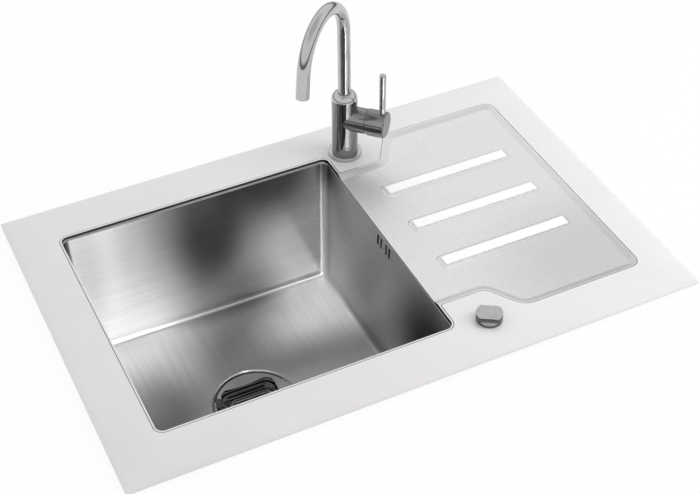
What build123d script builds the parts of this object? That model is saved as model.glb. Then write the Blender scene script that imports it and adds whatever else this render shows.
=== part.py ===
from build123d import *
import os
from math import asin, atan2, cos, degrees, radians, sin, sqrt, tan

os.makedirs("parts", exist_ok=True)

# Glass-topped kitchen sink with one bowl, a drainer, a pop-up waste and a single-lever tap.
# Millimetres. X runs along the long side to the right, Y to the back, Z up.
# The origin is at the plan centre of the glass, on the worktop that the rim rests on.

# Layers of the rim, from the worktop up
gasket_thickness = 2.0
sheet_thickness = 1.0
bond_thickness = 1.0
glass_thickness = 6.0

sheet_bottom_z = gasket_thickness
sheet_top_z = sheet_bottom_z + sheet_thickness
glass_bottom_z = sheet_top_z + bond_thickness
glass_top_z = glass_bottom_z + glass_thickness

# Glass panel
glass_length = 780.0
glass_width = 510.0
glass_corner = 2.0
facet_width = 9.0
facet_depth = 1.6
tap_hole_radius = 17.5
knob_hole_radius = 14.0

# Steel under the glass
sheet_inset = 3.0
sheet_corner = 8.0
gasket_width = 10.0
gasket_inset = 1.0
bond_width = 12.0
bond_inset = 2.0
hole_clearance = 0.5

# Raised steel edge that stands in the glass opening
edge_width = 2.2
edge_gap = 0.8
edge_drop = 0.3
edge_top_z = glass_top_z - edge_drop
rim_band = edge_width + edge_gap

# Bowl, set in from the left and the long edges of the glass
bowl_length = 393.0
bowl_left_border = 63.0
bowl_side_border = 66.5
bowl_depth = 215.0
bowl_corner = 10.0
bowl_floor_corner = 10.0
bowl_draft = 7.0
bowl_wall = 1.0
bowl_flange = 8.0

floor_z = glass_top_z - bowl_depth
bowl_width = glass_width - 2 * bowl_side_border
bowl_left_x = bowl_left_border - glass_length / 2
bowl_right_x = bowl_left_x + bowl_length
bowl_x = (bowl_left_x + bowl_right_x) / 2
bowl_y = 0.0
draft_lean = atan2(bowl_draft, edge_top_z - floor_z + bowl_wall)

# Drainer, bounded by the edge of the glass opening
drainer_right_border = 48.0
drainer_back_border = 53.0
drainer_front_border = 60.0
drainer_corner = 15.0
pan_wall_depth = 3.9
pan_wall_run = 10.5
pan_depth_right = 2.6
pan_fall_angle = 0.22

drainer_right_x = glass_length / 2 - drainer_right_border
drainer_back_y = glass_width / 2 - drainer_back_border
drainer_front_y = drainer_front_border - glass_width / 2

# Glass tongues that carry the tap and the knob, measured from the drainer and the bowl
tongue_back_depth = 52.0
tongue_front_depth = 48.0
tongue_tip_reach = 66.5
tongue_foot_reach = 98.5
tongue_tip_corner = 12.0
tongue_foot_corner = 28.0
tongue_inner_corner = 3.0

tongue_back_y = drainer_back_y - tongue_back_depth
tongue_front_y = drainer_front_y + tongue_front_depth
tongue_tip_x = bowl_right_x + tongue_tip_reach
tongue_foot_x = bowl_right_x + tongue_foot_reach

# Drainer ribs and their glass strips
rib_count = 3
rib_pitch = 81.0
rib_middle_shift = 2.0
rib_left_gap = 38.5
rib_right_gap = 34.5
rib_width = 31.0
rib_corner = 10.0
rib_slope = 4.5
rib_foot_drop = 1.6
rib_top_drop = 1.7
strip_end_gap = 7.5
strip_width = 15.5
strip_thickness = 1.8
strip_bevel = 0.4

rib_left_x = bowl_right_x + rib_left_gap
rib_right_x = drainer_right_x - rib_right_gap
rib_x = (rib_left_x + rib_right_x) / 2
rib_length = rib_right_x - rib_left_x
rib_middle_y = (drainer_back_y + drainer_front_y) / 2 + rib_middle_shift
rib_top_z = edge_top_z - rib_top_drop
strip_length = rib_length - 2 * strip_end_gap

# Overflow in the right wall of the bowl
overflow_y = 5.5
overflow_below_glass = 22.7
overflow_slot_height = 17.0
overflow_slot_width = 2.8
overflow_slot_offsets = (-16.4, -7.0, 7.0, 16.4)
overflow_box_width = 48.0
overflow_box_height = 28.0
overflow_box_drop = 3.0
overflow_box_depth = 22.0
overflow_box_wall = 2.0
overflow_box_cheek = 4.0
overflow_box_corner = 5.0
overflow_gasket_thickness = 2.0
overflow_screw_radius = 2.0
overflow_screw_length = 14.0
overflow_screw_head_radius = 3.6
overflow_screw_head_height = 1.4
overflow_screw_head_round = 0.6
overflow_boss_radius = 4.5
hose_spigot_radius = 9.0
hose_spigot_wall = 2.0
hose_spigot_length = 20.0
hose_stop_radius = 11.0
hose_stop_reach = 4.0
thread_clearance = 0.1
seal_setback = 1.0
recess_share = 1.2
recess_width = 0.8
recess_depth = 0.8

# Waste opening and flange
waste_shift_x = -9.5
waste_shift_y = -12.0
seat_radius = 61.0
seat_depth = 3.0
seat_slope = 3.0
waste_hole_radius = 53.5
waste_seal_thickness = 1.0
flange_radius = 58.0
flange_thickness = 1.5
flange_bead = 0.5
flange_bead_width = 1.6
dish_radius = 54.6
dish_angle = 21.0
well_size = 80.0
well_corner = 14.0
well_wall = 1.5
well_depth = 23.0
well_edge_inset = 2.0
throat_radius = 30.0
waste_screw_spread = 29.0
waste_screw_radius = 2.5
waste_screw_head_radius = 4.2
waste_screw_head_height = 2.2
waste_screw_length = 14.0
waste_screw_spare = 1.0

waste_x = bowl_x + waste_shift_x
waste_y = bowl_y + waste_shift_y
seat_z = floor_z - seat_depth
flange_bottom_z = seat_z + waste_seal_thickness
flange_top_z = flange_bottom_z + flange_thickness + flange_bead
well_plate_z = floor_z - well_depth

# Waste body under the bowl
body_seal_thickness = 2.0
body_flange_radius = 65.0
body_flange_thickness = 4.0
body_bore_radius = 54.0
body_wall = 3.0
ledge_gap = 0.5
ledge_radius = 44.0
ledge_depth = 10.0
funnel_depth = 26.0
outlet_radius = 23.9
outlet_bore_radius = 20.5
outlet_length = 30.0
outlet_collar_radius = 28.0
outlet_collar_height = 6.0
spigot_angle = 60.0
spigot_drop = 1.5
screw_boss_radius = 5.0
screw_boss_depth = 15.0
guide_radius = 8.0
guide_length = 12.0
guide_rise = 2.0
guide_arm_count = 3
guide_arm_width = 4.0
guide_arm_angle = 60.0

body_flange_z = seat_z - bowl_wall - body_seal_thickness
ledge_z = well_plate_z - well_wall - ledge_gap
funnel_z = ledge_z - ledge_depth
outlet_z = funnel_z - funnel_depth
outlet_end_z = outlet_z - outlet_collar_height - outlet_length
guide_bottom_z = funnel_z - guide_length + guide_rise

# Strainer plug
plug_travel = 10.0
strainer_clearance = 1.5
strainer_drop = 13.0
strainer_plate = 1.2
strainer_rim = 2.5
strainer_rim_height = 2.0
strainer_skirt = 5.0
strainer_slot_width = 3.0
strainer_slot_length = 56.0
strainer_slot_offsets = (28.6, 34.0)
cover_length = 62.0
cover_width = 50.0
cover_corner = 9.0
cover_rim = 2.5
cover_rim_height = 3.4
cover_plate = 1.2
cover_slot_length = 44.0
cover_slot_offsets = (11.0, 18.0)
cover_pad_radius = 7.0
cover_pad_height = 2.6
cover_window_inset = 4.0
strainer_spoke = 7.0
stem_radius = 4.0
stem_tip_flat = 0.2
stem_overrun = 2.0
stem_collar_radius = 6.5
stem_neck_radius = 3.0
seal_lift_gap = 0.2
plug_seal_radius = 34.0
plug_seal_thickness = 2.5
seal_nut_radius = 8.0
seal_nut_height = 4.0
running_clearance = 0.06

strainer_z = floor_z - strainer_drop
seal_bottom_z = well_plate_z + seal_lift_gap
seal_top_z = seal_bottom_z + plug_seal_thickness

# Lift lever inside the waste body
lift_arm = 30.0
lift_short_arm = 16.0
lift_tip_radius = 2.5
lift_hub_radius = 5.0
lift_width = 6.0
lift_gap = 0.3
lift_pin_radius = 2.0
lift_angle = degrees(2 * asin(plug_travel / (2 * lift_arm)))
lift_box_width = 18.0
lift_box_above = 24.0
lift_box_below = 10.0
lift_box_wall = 2.0
lift_box_reach = 54.0
gland_radius = 5.0
gland_neck_radius = 4.0
gland_neck_length = 1.5
gland_bore_radius = 2.2
gland_length = 16.0
gland_nut_radius = 7.0
gland_nut_length = 8.0
gland_nut_start = 3.0

stem_bottom_z = guide_bottom_z - plug_travel - stem_overrun
lift_tip_z = stem_bottom_z - lift_gap - lift_tip_radius
lift_pivot_z = lift_tip_z + plug_travel / 2
lift_pivot_x = waste_x + lift_arm

# Knob and its drive
knob_beside_bowl = 45.0
knob_front_border = 59.0
knob_radius = 17.0
knob_height = 11.5
knob_gap = 0.5
knob_turn_angle = -32.0
knob_edge_fillet = 0.6
scoop_radius = 5.5
scoop_bottom = 3.6
scoop_top_offset = 12.3
bush_flange_radius = 15.0
bush_flange_thickness = 1.2
knob_washer_thickness = 0.6
bush_radius = 12.5
bush_bottom_z = -24.0
spindle_radius = 4.0
knob_socket_depth = 8.0
knob_hollow_clearance = 0.6
knob_nut_height = 6.0
knob_nut_flat = 32.0
knob_seal_thickness = 1.5
knob_seal_radius = 20.0
drive_neck_radius = 15.0
drive_neck_length = 8.0
drive_box_radius = 22.0
drive_box_height = 20.0
drive_box_wall = 2.0
crank_radius = 10.0
crank_thickness = 4.0
crank_drop = 4.0
crank_hub_radius = 7.0
crank_hub_height = 1.0
crank_arm = 3.8
crank_rest_angle = 225.0
crank_pin_radius = 1.5
crank_pin_length = 4.0
cable_line_share = 0.85
drive_gland_setback = 1.0

knob_x = bowl_right_x + knob_beside_bowl
knob_y = knob_front_border - glass_width / 2

# Tap, placed and turned as it stands on the sink
tap_beside_bowl = 30.0
tap_back_border = 67.0
tap_turn_angle = -45.0
base_ring_radius = 23.5
base_ring_height = 5.0
base_ring_bore = 16.6
base_ring_floor = 1.2
base_ring_round = 1.2
base_seal_thickness = 0.8
tap_radius = 18.25
tap_body_top = 96.0
shoulder_height = 10.0
shoulder_neck_radius = 10.6
shoulder_shift = 2.0
shoulder_mid_share = 0.55
hub_radius = 18.0
hub_height = 63.0
hub_reach = 33.5
inlet_radius = 4.5
inlet_spread = 14.0
inlet_depth = 15.0
channel_radius = 2.5
outlet_channel_radius = 4.0
stud_radius = 4.0
stud_spread = 24.0
stud_depth = 12.0
stud_drop = 45.0
fixing_plate_radius = 20.5
fixing_plate_thickness = 2.0
fixing_rubber_thickness = 3.0
fixing_slot_width = 12.6
fixing_slot_length = 30.0
fixing_nut_flat = 13.0
fixing_nut_height = 10.0

tap_x = bowl_right_x + tap_beside_bowl
tap_y = glass_width / 2 - tap_back_border
body_bottom = base_seal_thickness + base_ring_floor

# Swivel spout
spout_angle = -140.0
spout_radius = 9.0
spout_wall = 1.0
spout_socket_radius = 14.0
spout_socket_depth = 17.0
spout_rise = 205.0
spout_bend_radius = 62.8
spout_bend_angle = 171.0
spout_drop = 33.7
spout_neck_gap = 0.35
sleeve_radius = 12.6
sleeve_end_gap = 0.4
bushing_height = 5.0
o_ring_section = 1.3
o_ring_heights = (3.6, 8.4)
aerator_length = 9.0
aerator_wall = 1.2
aerator_recess = 0.4
aerator_hole_radius = 0.7
aerator_hole_pitch = 2.2
aerator_hole_rows = 5

# Mixer cartridge and lever
cartridge_radius = 12.5
cartridge_clearance = 0.15
cartridge_start = 9.0
cartridge_length = 20.0
cartridge_neck_radius = 10.5
cartridge_neck_length = 4.2
cartridge_bore_depth = 10.0
nut_thread_radius = 15.1
nut_thread_depth = 7.0
nut_thickness = 4.0
rotor_radius = 8.0
rotor_length = 11.0
rotor_slot_depth = 8.0
rotor_reach = 3.5
lever_pivot = 34.5
lever_tilt_angle = 17.0
mixer_spindle_radius = 4.0
mixer_spindle_tail = 2.5
mixer_pin_radius = 1.2
mixer_pin_setback = 0.4
dome_radius = 15.9
dome_wall = 1.0
dome_mouth_radius = 10.0
cap_radius = 19.0
cap_bore_radius = 16.8
cap_gap = 1.0
cap_end = 62.0
cap_end_wall = 12.0
cap_relief_margin = 0.5
cap_chamfer = 1.2
cap_hole_depth = 7.0
lever_reach = 55.5
lever_top = 147.0
lever_top_radius = 4.75
lever_foot_radius = 4.2
lever_foot_depth = 11.0
lever_top_round = 2.2
grub_radius = 2.5
grub_length = 10.0
grub_shift = 1.0
grub_socket_radius = 1.4

# Clamps that pull the rim on to the worktop
worktop_thickness = 38.0
cutout_inset = 10.0
clamp_gap = 9.0
clamp_end_border = 140.0
clamp_middle_x = -20.0
clamp_strip = 1.2
clamp_width = 18.0
clamp_front = 4.0
clamp_back = 14.0
lug_back = 8.2
lip_front = 6.0
lip_thickness = 3.0
lip_drop = 14.0
claw_width = 14.0
claw_tail = 6.0
claw_reach = 18.0
claw_foot = 7.0
claw_strip = 2.0
claw_rise = 6.0
clamp_screw_radius = 2.5
clamp_screw_drop = 6.0
clamp_head_radius = 4.5
clamp_head_height = 3.0
clamp_slot_width = 1.2
clamp_slot_depth = 1.2

clamp_inset = cutout_inset + clamp_gap
clamp_row_x = (clamp_end_border - glass_length / 2, clamp_middle_x, glass_length / 2 - clamp_end_border)

# Sound pads on the bowl
pad_thickness = 3.0
pad_length = 220.0
pad_height = 110.0
pad_below_glass = 115.0
pad_corner = 8.0


def inset_corners(corners, inset):
    """Corners of a counter-clockwise outline, moved inwards by inset."""
    moved = []
    for before, corner, after in zip(corners[-1:] + corners[:-1], corners, corners[1:] + corners[:1]):
        arriving = (corner - before).normalized()
        leaving = (after - corner).normalized()
        first_normal = Vector(-arriving.Y, arriving.X)
        second_normal = Vector(-leaving.Y, leaving.X)
        shift = inset / (1 + first_normal.dot(second_normal))
        moved.append(corner + (first_normal + second_normal) * shift)
    return moved


def inset_radii(radii, inset):
    """Corner radii after the same move: outer corners tighten, and inner ones, below zero, open."""
    return [max(radius - inset if radius > 0 else inset - radius, 0.3) for radius in radii]


def rounded_outline(corners, radii, inset):
    """Edges of the rounded outline, moved inwards by inset."""
    with BuildLine() as outline:
        FilletPolyline(*inset_corners(corners, inset), radius=inset_radii(radii, inset), close=True)
    return outline.edges()


# The glass opening goes round the bowl and the drainer, and past the two tongues
opening_corners = [
    Vector(bowl_left_x - rim_band, bowl_y - bowl_width / 2 - rim_band),
    Vector(bowl_right_x + rim_band, bowl_y - bowl_width / 2 - rim_band),
    Vector(bowl_right_x + rim_band, tongue_front_y),
    Vector(tongue_tip_x, tongue_front_y),
    Vector(tongue_foot_x, drainer_front_y),
    Vector(drainer_right_x, drainer_front_y),
    Vector(drainer_right_x, drainer_back_y),
    Vector(tongue_foot_x, drainer_back_y),
    Vector(tongue_tip_x, tongue_back_y),
    Vector(bowl_right_x + rim_band, tongue_back_y),
    Vector(bowl_right_x + rim_band, bowl_y + bowl_width / 2 + rim_band),
    Vector(bowl_left_x - rim_band, bowl_y + bowl_width / 2 + rim_band),
]
opening_radii = [
    bowl_corner + rim_band,
    bowl_corner + rim_band,
    -tongue_inner_corner,
    -tongue_tip_corner,
    tongue_foot_corner,
    drainer_corner,
    drainer_corner,
    tongue_foot_corner,
    -tongue_tip_corner,
    -tongue_inner_corner,
    bowl_corner + rim_band,
    bowl_corner + rim_band,
]

# The drainer pan runs on past the edge of the bowl, where the bowl cuts it off
pan_left_x = bowl_right_x - 3 * pan_wall_run
pan_corners = [
    Vector(pan_left_x, tongue_front_y),
    Vector(tongue_tip_x, tongue_front_y),
    Vector(tongue_foot_x, drainer_front_y),
    Vector(drainer_right_x, drainer_front_y),
    Vector(drainer_right_x, drainer_back_y),
    Vector(tongue_foot_x, drainer_back_y),
    Vector(tongue_tip_x, tongue_back_y),
    Vector(pan_left_x, tongue_back_y),
]
pan_radii = [
    pan_wall_run,
    -tongue_tip_corner,
    tongue_foot_corner,
    drainer_corner,
    drainer_corner,
    tongue_foot_corner,
    -tongue_tip_corner,
    pan_wall_run,
]


def field_plane(drop):
    """Plane of the drainer field, lowered by drop, which falls towards the bowl."""
    return Plane(
        origin=(drainer_right_x - rim_band, 0, edge_top_z - pan_depth_right - drop),
        z_dir=(-sin(radians(pan_fall_angle)), 0, cos(radians(pan_fall_angle))),
    )


def pan_hollow(drop):
    """Space above the pressed pan of the drainer, lowered by drop."""
    with BuildPart() as hollow:
        with BuildSketch(Plane.XY.offset(edge_top_z - drop)):
            make_face(rounded_outline(pan_corners, pan_radii, rim_band))
        with BuildSketch(Plane.XY.offset(edge_top_z - drop - pan_wall_depth)):
            make_face(rounded_outline(pan_corners, pan_radii, rim_band + pan_wall_run))
        loft(ruled=True)
        split(bisect_by=field_plane(drop), keep=Keep.TOP)
    return hollow.part


def bowl_form(growth):
    """Space inside the bowl up to the raised edge, grown by growth on every wall."""
    with BuildPart() as form:
        with BuildSketch(Plane.XY.offset(floor_z - growth)):
            with Locations((bowl_x, bowl_y)):
                Rectangle(
                    bowl_length - 2 * bowl_draft + 2 * growth,
                    bowl_width - 2 * bowl_draft + 2 * growth,
                )
        wall_height = edge_top_z - floor_z + growth
        extrude(amount=wall_height, taper=-degrees(atan2(bowl_draft, wall_height)))
        fillet(form.edges().group_by(Axis.Z)[1], radius=bowl_corner + growth)
        fillet(form.faces().sort_by(Axis.Z)[0].edges(), radius=bowl_floor_corner + growth)
    return form.part


def rib_form(y, inset, drop):
    """Pressed rib of the drainer, with sloping sides, narrowed by inset and lowered by drop."""
    foot_z = edge_top_z - pan_depth_right - rib_foot_drop - drop
    with BuildPart() as form:
        with BuildSketch(Plane.XY.offset(sheet_bottom_z)):
            with Locations((rib_x, y)):
                RectangleRounded(rib_length - 2 * inset, rib_width - 2 * inset, rib_corner - inset)
        extrude(amount=foot_z - sheet_bottom_z)
        with BuildSketch(Plane.XY.offset(foot_z)):
            with Locations((rib_x, y)):
                RectangleRounded(rib_length - 2 * inset, rib_width - 2 * inset, rib_corner - inset)
        with BuildSketch(Plane.XY.offset(rib_top_z - drop)):
            with Locations((rib_x, y)):
                RectangleRounded(
                    rib_length - 2 * inset - 2 * rib_slope,
                    rib_width - 2 * inset - 2 * rib_slope,
                    rib_corner - inset - rib_slope,
                )
        loft(ruled=True)
    return form.part


def rib_block(y):
    """Rib above the underside of the drainer field."""
    with BuildPart() as block:
        add(rib_form(y, 0, 0))
        split(bisect_by=field_plane(sheet_thickness), keep=Keep.TOP)
    return block.part


def drainer_underside():
    """Space under the pan, one sheet thickness below it, outside the collar round the bowl."""
    with BuildPart() as space:
        with BuildSketch(Plane.XY.offset(sheet_bottom_z)):
            make_face(rounded_outline(pan_corners, pan_radii, rim_band))
        extrude(amount=edge_top_z - sheet_thickness - sheet_bottom_z)
        add(pan_hollow(sheet_thickness), mode=Mode.SUBTRACT)
        add(bowl_form(bowl_wall), mode=Mode.SUBTRACT)
    return space.part


def wall_plane(outward, place, below_glass):
    """Plane on the outside of a drafted bowl wall; local Y runs up the wall."""
    lean = Vector(outward.X * cos(draft_lean), outward.Y * cos(draft_lean), -sin(draft_lean))
    return Plane(
        origin=place + outward * (bowl_wall - tan(draft_lean) * (below_glass - edge_drop)),
        x_dir=Vector(0, 0, 1).cross(outward),
        z_dir=lean,
    )


bowl_space = bowl_form(0)
overflow_z = glass_top_z - overflow_below_glass
overflow_plane = wall_plane(
    Vector(1, 0, 0),
    Vector(bowl_right_x, overflow_y, overflow_z),
    overflow_below_glass,
)
rib_ys = [rib_middle_y + rib_pitch * (index - (rib_count - 1) / 2) for index in range(rib_count)]

# Toughened glass panel, with its faceted border
with BuildPart() as glass_top:
    with BuildSketch(Plane.XY.offset(glass_bottom_z)):
        RectangleRounded(glass_length, glass_width, glass_corner)
    extrude(amount=glass_thickness - facet_depth)
    with BuildSketch(Plane.XY.offset(glass_top_z - facet_depth)):
        RectangleRounded(glass_length, glass_width, glass_corner)
    with BuildSketch(Plane.XY.offset(glass_top_z)):
        RectangleRounded(glass_length - 2 * facet_width, glass_width - 2 * facet_width, glass_corner)
    loft(ruled=True)
    with BuildSketch(Plane.XY.offset(glass_bottom_z)):
        make_face(rounded_outline(opening_corners, opening_radii, 0))
        with Locations((tap_x, tap_y)):
            Circle(tap_hole_radius)
        with Locations((knob_x, knob_y)):
            Circle(knob_hole_radius)
    extrude(amount=glass_thickness, mode=Mode.SUBTRACT)
glass_top.part.label = "glass_top"
export_step(glass_top.part, "parts/glass_top.step")

# Adhesive between the glass and the steel: a border bead and one round the opening
with BuildPart() as glass_bond:
    with BuildSketch(Plane.XY.offset(sheet_top_z)):
        RectangleRounded(
            glass_length - 2 * (sheet_inset + bond_inset),
            glass_width - 2 * (sheet_inset + bond_inset),
            sheet_corner,
        )
        RectangleRounded(
            glass_length - 2 * (sheet_inset + bond_inset + bond_width),
            glass_width - 2 * (sheet_inset + bond_inset + bond_width),
            sheet_corner,
            mode=Mode.SUBTRACT,
        )
    extrude(amount=bond_thickness)
    with BuildSketch(Plane.XY.offset(sheet_top_z)):
        make_face(rounded_outline(opening_corners, opening_radii, -bond_width))
    extrude(amount=bond_thickness)
    with BuildSketch(Plane.XY.offset(sheet_top_z)):
        make_face(rounded_outline(opening_corners, opening_radii, 0))
        with Locations((tap_x, tap_y)):
            Circle(tap_hole_radius + hole_clearance)
        with Locations((knob_x, knob_y)):
            Circle(knob_hole_radius + hole_clearance)
    extrude(amount=bond_thickness, mode=Mode.SUBTRACT)
glass_bond.part.label = "glass_bond"
export_step(glass_bond.part, "parts/glass_bond.step")

# Steel top sheet: flat border under the glass, raised edge in the opening, and pressed drainer
with BuildPart() as top_sheet:
    with BuildSketch(Plane.XY.offset(sheet_bottom_z)):
        RectangleRounded(glass_length - 2 * sheet_inset, glass_width - 2 * sheet_inset, sheet_corner)
    extrude(amount=sheet_thickness)
    with BuildSketch(Plane.XY.offset(sheet_bottom_z)):
        make_face(rounded_outline(opening_corners, opening_radii, edge_gap))
    extrude(amount=edge_top_z - sheet_bottom_z)
    add(pan_hollow(0), mode=Mode.SUBTRACT)
    add(drainer_underside(), mode=Mode.SUBTRACT)
    for rib_y in rib_ys:
        add(rib_block(rib_y))
        add(rib_form(rib_y, sheet_thickness, sheet_thickness), mode=Mode.SUBTRACT)
    add(bowl_space, mode=Mode.SUBTRACT)
    with BuildSketch(Plane.XY.offset(sheet_bottom_z)):
        with Locations((tap_x, tap_y)):
            Circle(tap_hole_radius + hole_clearance)
        with Locations((knob_x, knob_y)):
            Circle(knob_hole_radius + hole_clearance)
    extrude(amount=sheet_thickness, mode=Mode.SUBTRACT)
top_sheet.part.label = "top_sheet"
export_step(top_sheet.part, "parts/top_sheet.step")

# White glass strips bonded on the ribs
with BuildPart() as rib_strips:
    with BuildSketch(Plane.XY.offset(rib_top_z)):
        with Locations(*[(rib_x, rib_y) for rib_y in rib_ys]):
            Rectangle(strip_length, strip_width)
    extrude(amount=strip_thickness)
    chamfer(rib_strips.faces().group_by(Axis.Z)[-1].edges(), length=strip_bevel)
rib_strips.part.label = "rib_strips"
export_step(rib_strips.part, "parts/rib_strips.step")

# Pressed steel bowl, with a narrow flange under the top sheet
with BuildPart() as bowl:
    add(bowl_form(bowl_wall))
    with BuildSketch(Plane.XY.offset(floor_z - bowl_wall)):
        with Locations((waste_x, waste_y)):
            Circle(seat_radius + bowl_wall)
    extrude(amount=-seat_depth)
    add(bowl_space, mode=Mode.SUBTRACT)
    with BuildSketch(Plane.XY.offset(seat_z)):
        with Locations((waste_x, waste_y)):
            Circle(seat_radius - seat_slope)
    with BuildSketch(Plane.XY.offset(floor_z)):
        with Locations((waste_x, waste_y)):
            Circle(seat_radius)
    loft(ruled=True, mode=Mode.SUBTRACT)
    split(bisect_by=Plane.XY.offset(sheet_bottom_z), keep=Keep.BOTTOM)
    with BuildSketch(Plane.XY.offset(sheet_bottom_z - bowl_wall)):
        with Locations((bowl_x, bowl_y)):
            RectangleRounded(
                bowl_length + 2 * (bowl_wall + bowl_flange),
                bowl_width + 2 * (bowl_wall + bowl_flange),
                bowl_corner + bowl_wall + bowl_flange,
            )
    extrude(amount=bowl_wall)
    add(bowl_space, mode=Mode.SUBTRACT)
    with BuildSketch(Plane.XY.offset(seat_z)):
        with Locations((waste_x, waste_y)):
            Circle(waste_hole_radius)
    extrude(amount=seat_depth, both=True, mode=Mode.SUBTRACT)
    with BuildSketch(overflow_plane):
        with Locations(*[(offset, 0) for offset in overflow_slot_offsets]):
            SlotOverall(overflow_slot_height, overflow_slot_width, rotation=90)
        Circle(overflow_screw_radius + thread_clearance)
    extrude(amount=3 * bowl_wall, both=True, mode=Mode.SUBTRACT)
bowl.part.label = "bowl"
export_step(bowl.part, "parts/bowl.step")

# Foam strip between the rim and the worktop
with BuildPart() as rim_gasket:
    with BuildSketch(Plane.XY):
        RectangleRounded(
            glass_length - 2 * (sheet_inset + gasket_inset),
            glass_width - 2 * (sheet_inset + gasket_inset),
            sheet_corner,
        )
        RectangleRounded(
            glass_length - 2 * (sheet_inset + gasket_inset + gasket_width),
            glass_width - 2 * (sheet_inset + gasket_inset + gasket_width),
            sheet_corner,
            mode=Mode.SUBTRACT,
        )
    extrude(amount=gasket_thickness)
rim_gasket.part.label = "rim_gasket"
export_step(rim_gasket.part, "parts/rim_gasket.step")

# Places of the rim clamps; local X points outwards, to the edge of the glass
clamp_places = [Plane(origin=(x, glass_width / 2 - clamp_inset, 0), x_dir=(0, 1, 0)) for x in clamp_row_x]
clamp_places += [Plane(origin=(x, clamp_inset - glass_width / 2, 0), x_dir=(0, -1, 0)) for x in clamp_row_x]
clamp_places.append(Plane(origin=(glass_length / 2 - clamp_inset, 0, 0), x_dir=(1, 0, 0)))
clamp_places.append(Plane(origin=(clamp_inset - glass_length / 2, 0, 0), x_dir=(-1, 0, 0)))
lip_z = sheet_bottom_z - lip_drop
claw_z = -worktop_thickness - claw_rise


def clamp_levels(z):
    """Sketch planes at height z, one at each clamp."""
    return [place.offset(z) for place in clamp_places]


# Brackets under the sheet, each with a tapped lip for the clamp screw
with BuildPart() as clamp_brackets:
    with BuildSketch(*clamp_levels(sheet_bottom_z)):
        with Locations(((clamp_front - clamp_back) / 2, 0)):
            Rectangle(clamp_front + clamp_back, clamp_width)
    extrude(amount=-clamp_strip)
    with BuildSketch(*clamp_levels(sheet_bottom_z)):
        with Locations((-lug_back + clamp_strip / 2, 0)):
            Rectangle(clamp_strip, clamp_width)
    extrude(amount=-lip_drop)
    with BuildSketch(*clamp_levels(lip_z)):
        with Locations(((lip_front - lug_back) / 2, 0)):
            Rectangle(lip_front + lug_back, clamp_width)
        Circle(clamp_screw_radius, mode=Mode.SUBTRACT)
    extrude(amount=-lip_thickness)
clamp_brackets.part.label = "clamp_brackets"
export_step(clamp_brackets.part, "parts/clamp_brackets.step")

# Claws that hook under the worktop
with BuildPart() as clamp_claws:
    with BuildSketch(*clamp_levels(claw_z)):
        with Locations(((claw_reach - claw_foot + claw_strip - claw_tail) / 2, 0)):
            Rectangle(claw_reach - claw_foot + claw_strip + claw_tail, claw_width)
        Circle(clamp_screw_radius + hole_clearance, mode=Mode.SUBTRACT)
    extrude(amount=claw_strip)
    with BuildSketch(*clamp_levels(claw_z)):
        with Locations((claw_reach - claw_foot + claw_strip / 2, 0)):
            Rectangle(claw_strip, claw_width)
    extrude(amount=claw_rise)
    with BuildSketch(*clamp_levels(-worktop_thickness)):
        with Locations((claw_reach - claw_foot / 2, 0)):
            Rectangle(claw_foot, claw_width)
    extrude(amount=-claw_strip)
clamp_claws.part.label = "clamp_claws"
export_step(clamp_claws.part, "parts/clamp_claws.step")

# Screws that draw the claws up
with BuildPart() as clamp_screws:
    with BuildSketch(*clamp_levels(claw_z)):
        Circle(clamp_screw_radius)
    extrude(amount=sheet_bottom_z - clamp_screw_drop - claw_z)
    with BuildSketch(*clamp_levels(claw_z)):
        Circle(clamp_head_radius)
    extrude(amount=-clamp_head_height)
    with BuildSketch(*clamp_levels(claw_z - clamp_head_height)):
        Rectangle(clamp_head_radius * 3, clamp_slot_width)
    extrude(amount=clamp_slot_depth, mode=Mode.SUBTRACT)
clamp_screws.part.label = "clamp_screws"
export_step(clamp_screws.part, "parts/clamp_screws.step")

# Sound-deadening pads glued on three walls of the bowl
pad_walls = (
    (Vector(-1, 0, 0), Vector(bowl_left_x, bowl_y, 0)),
    (Vector(0, -1, 0), Vector(bowl_x, bowl_y - bowl_width / 2, 0)),
    (Vector(0, 1, 0), Vector(bowl_x, bowl_y + bowl_width / 2, 0)),
)
pad_middle = Vector(0, 0, glass_top_z - pad_below_glass)
with BuildPart() as sound_pads:
    with BuildSketch(*[wall_plane(outward, foot + pad_middle, pad_below_glass) for outward, foot in pad_walls]):
        RectangleRounded(pad_length, pad_height, pad_corner)
    extrude(amount=pad_thickness)
sound_pads.part.label = "sound_pads"
export_step(sound_pads.part, "parts/sound_pads.step")

# Overflow: gasket, box with a hose spigot, and the screw that holds it from inside the bowl
overflow_box_plane = overflow_plane.offset(overflow_gasket_thickness)
spigot_x = overflow_box_plane.origin.X + overflow_box_depth / 2


def overflow_level(z):
    """Sketch plane square to the hose spigot of the overflow at height z."""
    return Plane(origin=(spigot_x, overflow_y, z))


with BuildPart() as overflow_gasket:
    with BuildSketch(overflow_plane):
        with Locations((0, -overflow_box_drop)):
            RectangleRounded(overflow_box_width, overflow_box_height, overflow_box_corner)
            RectangleRounded(
                overflow_box_width - 2 * overflow_box_cheek,
                overflow_box_height - 2 * overflow_box_wall,
                overflow_box_corner - overflow_box_wall,
                mode=Mode.SUBTRACT,
            )
    extrude(amount=overflow_gasket_thickness)
overflow_gasket.part.label = "overflow_gasket"
export_step(overflow_gasket.part, "parts/overflow_gasket.step")

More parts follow.
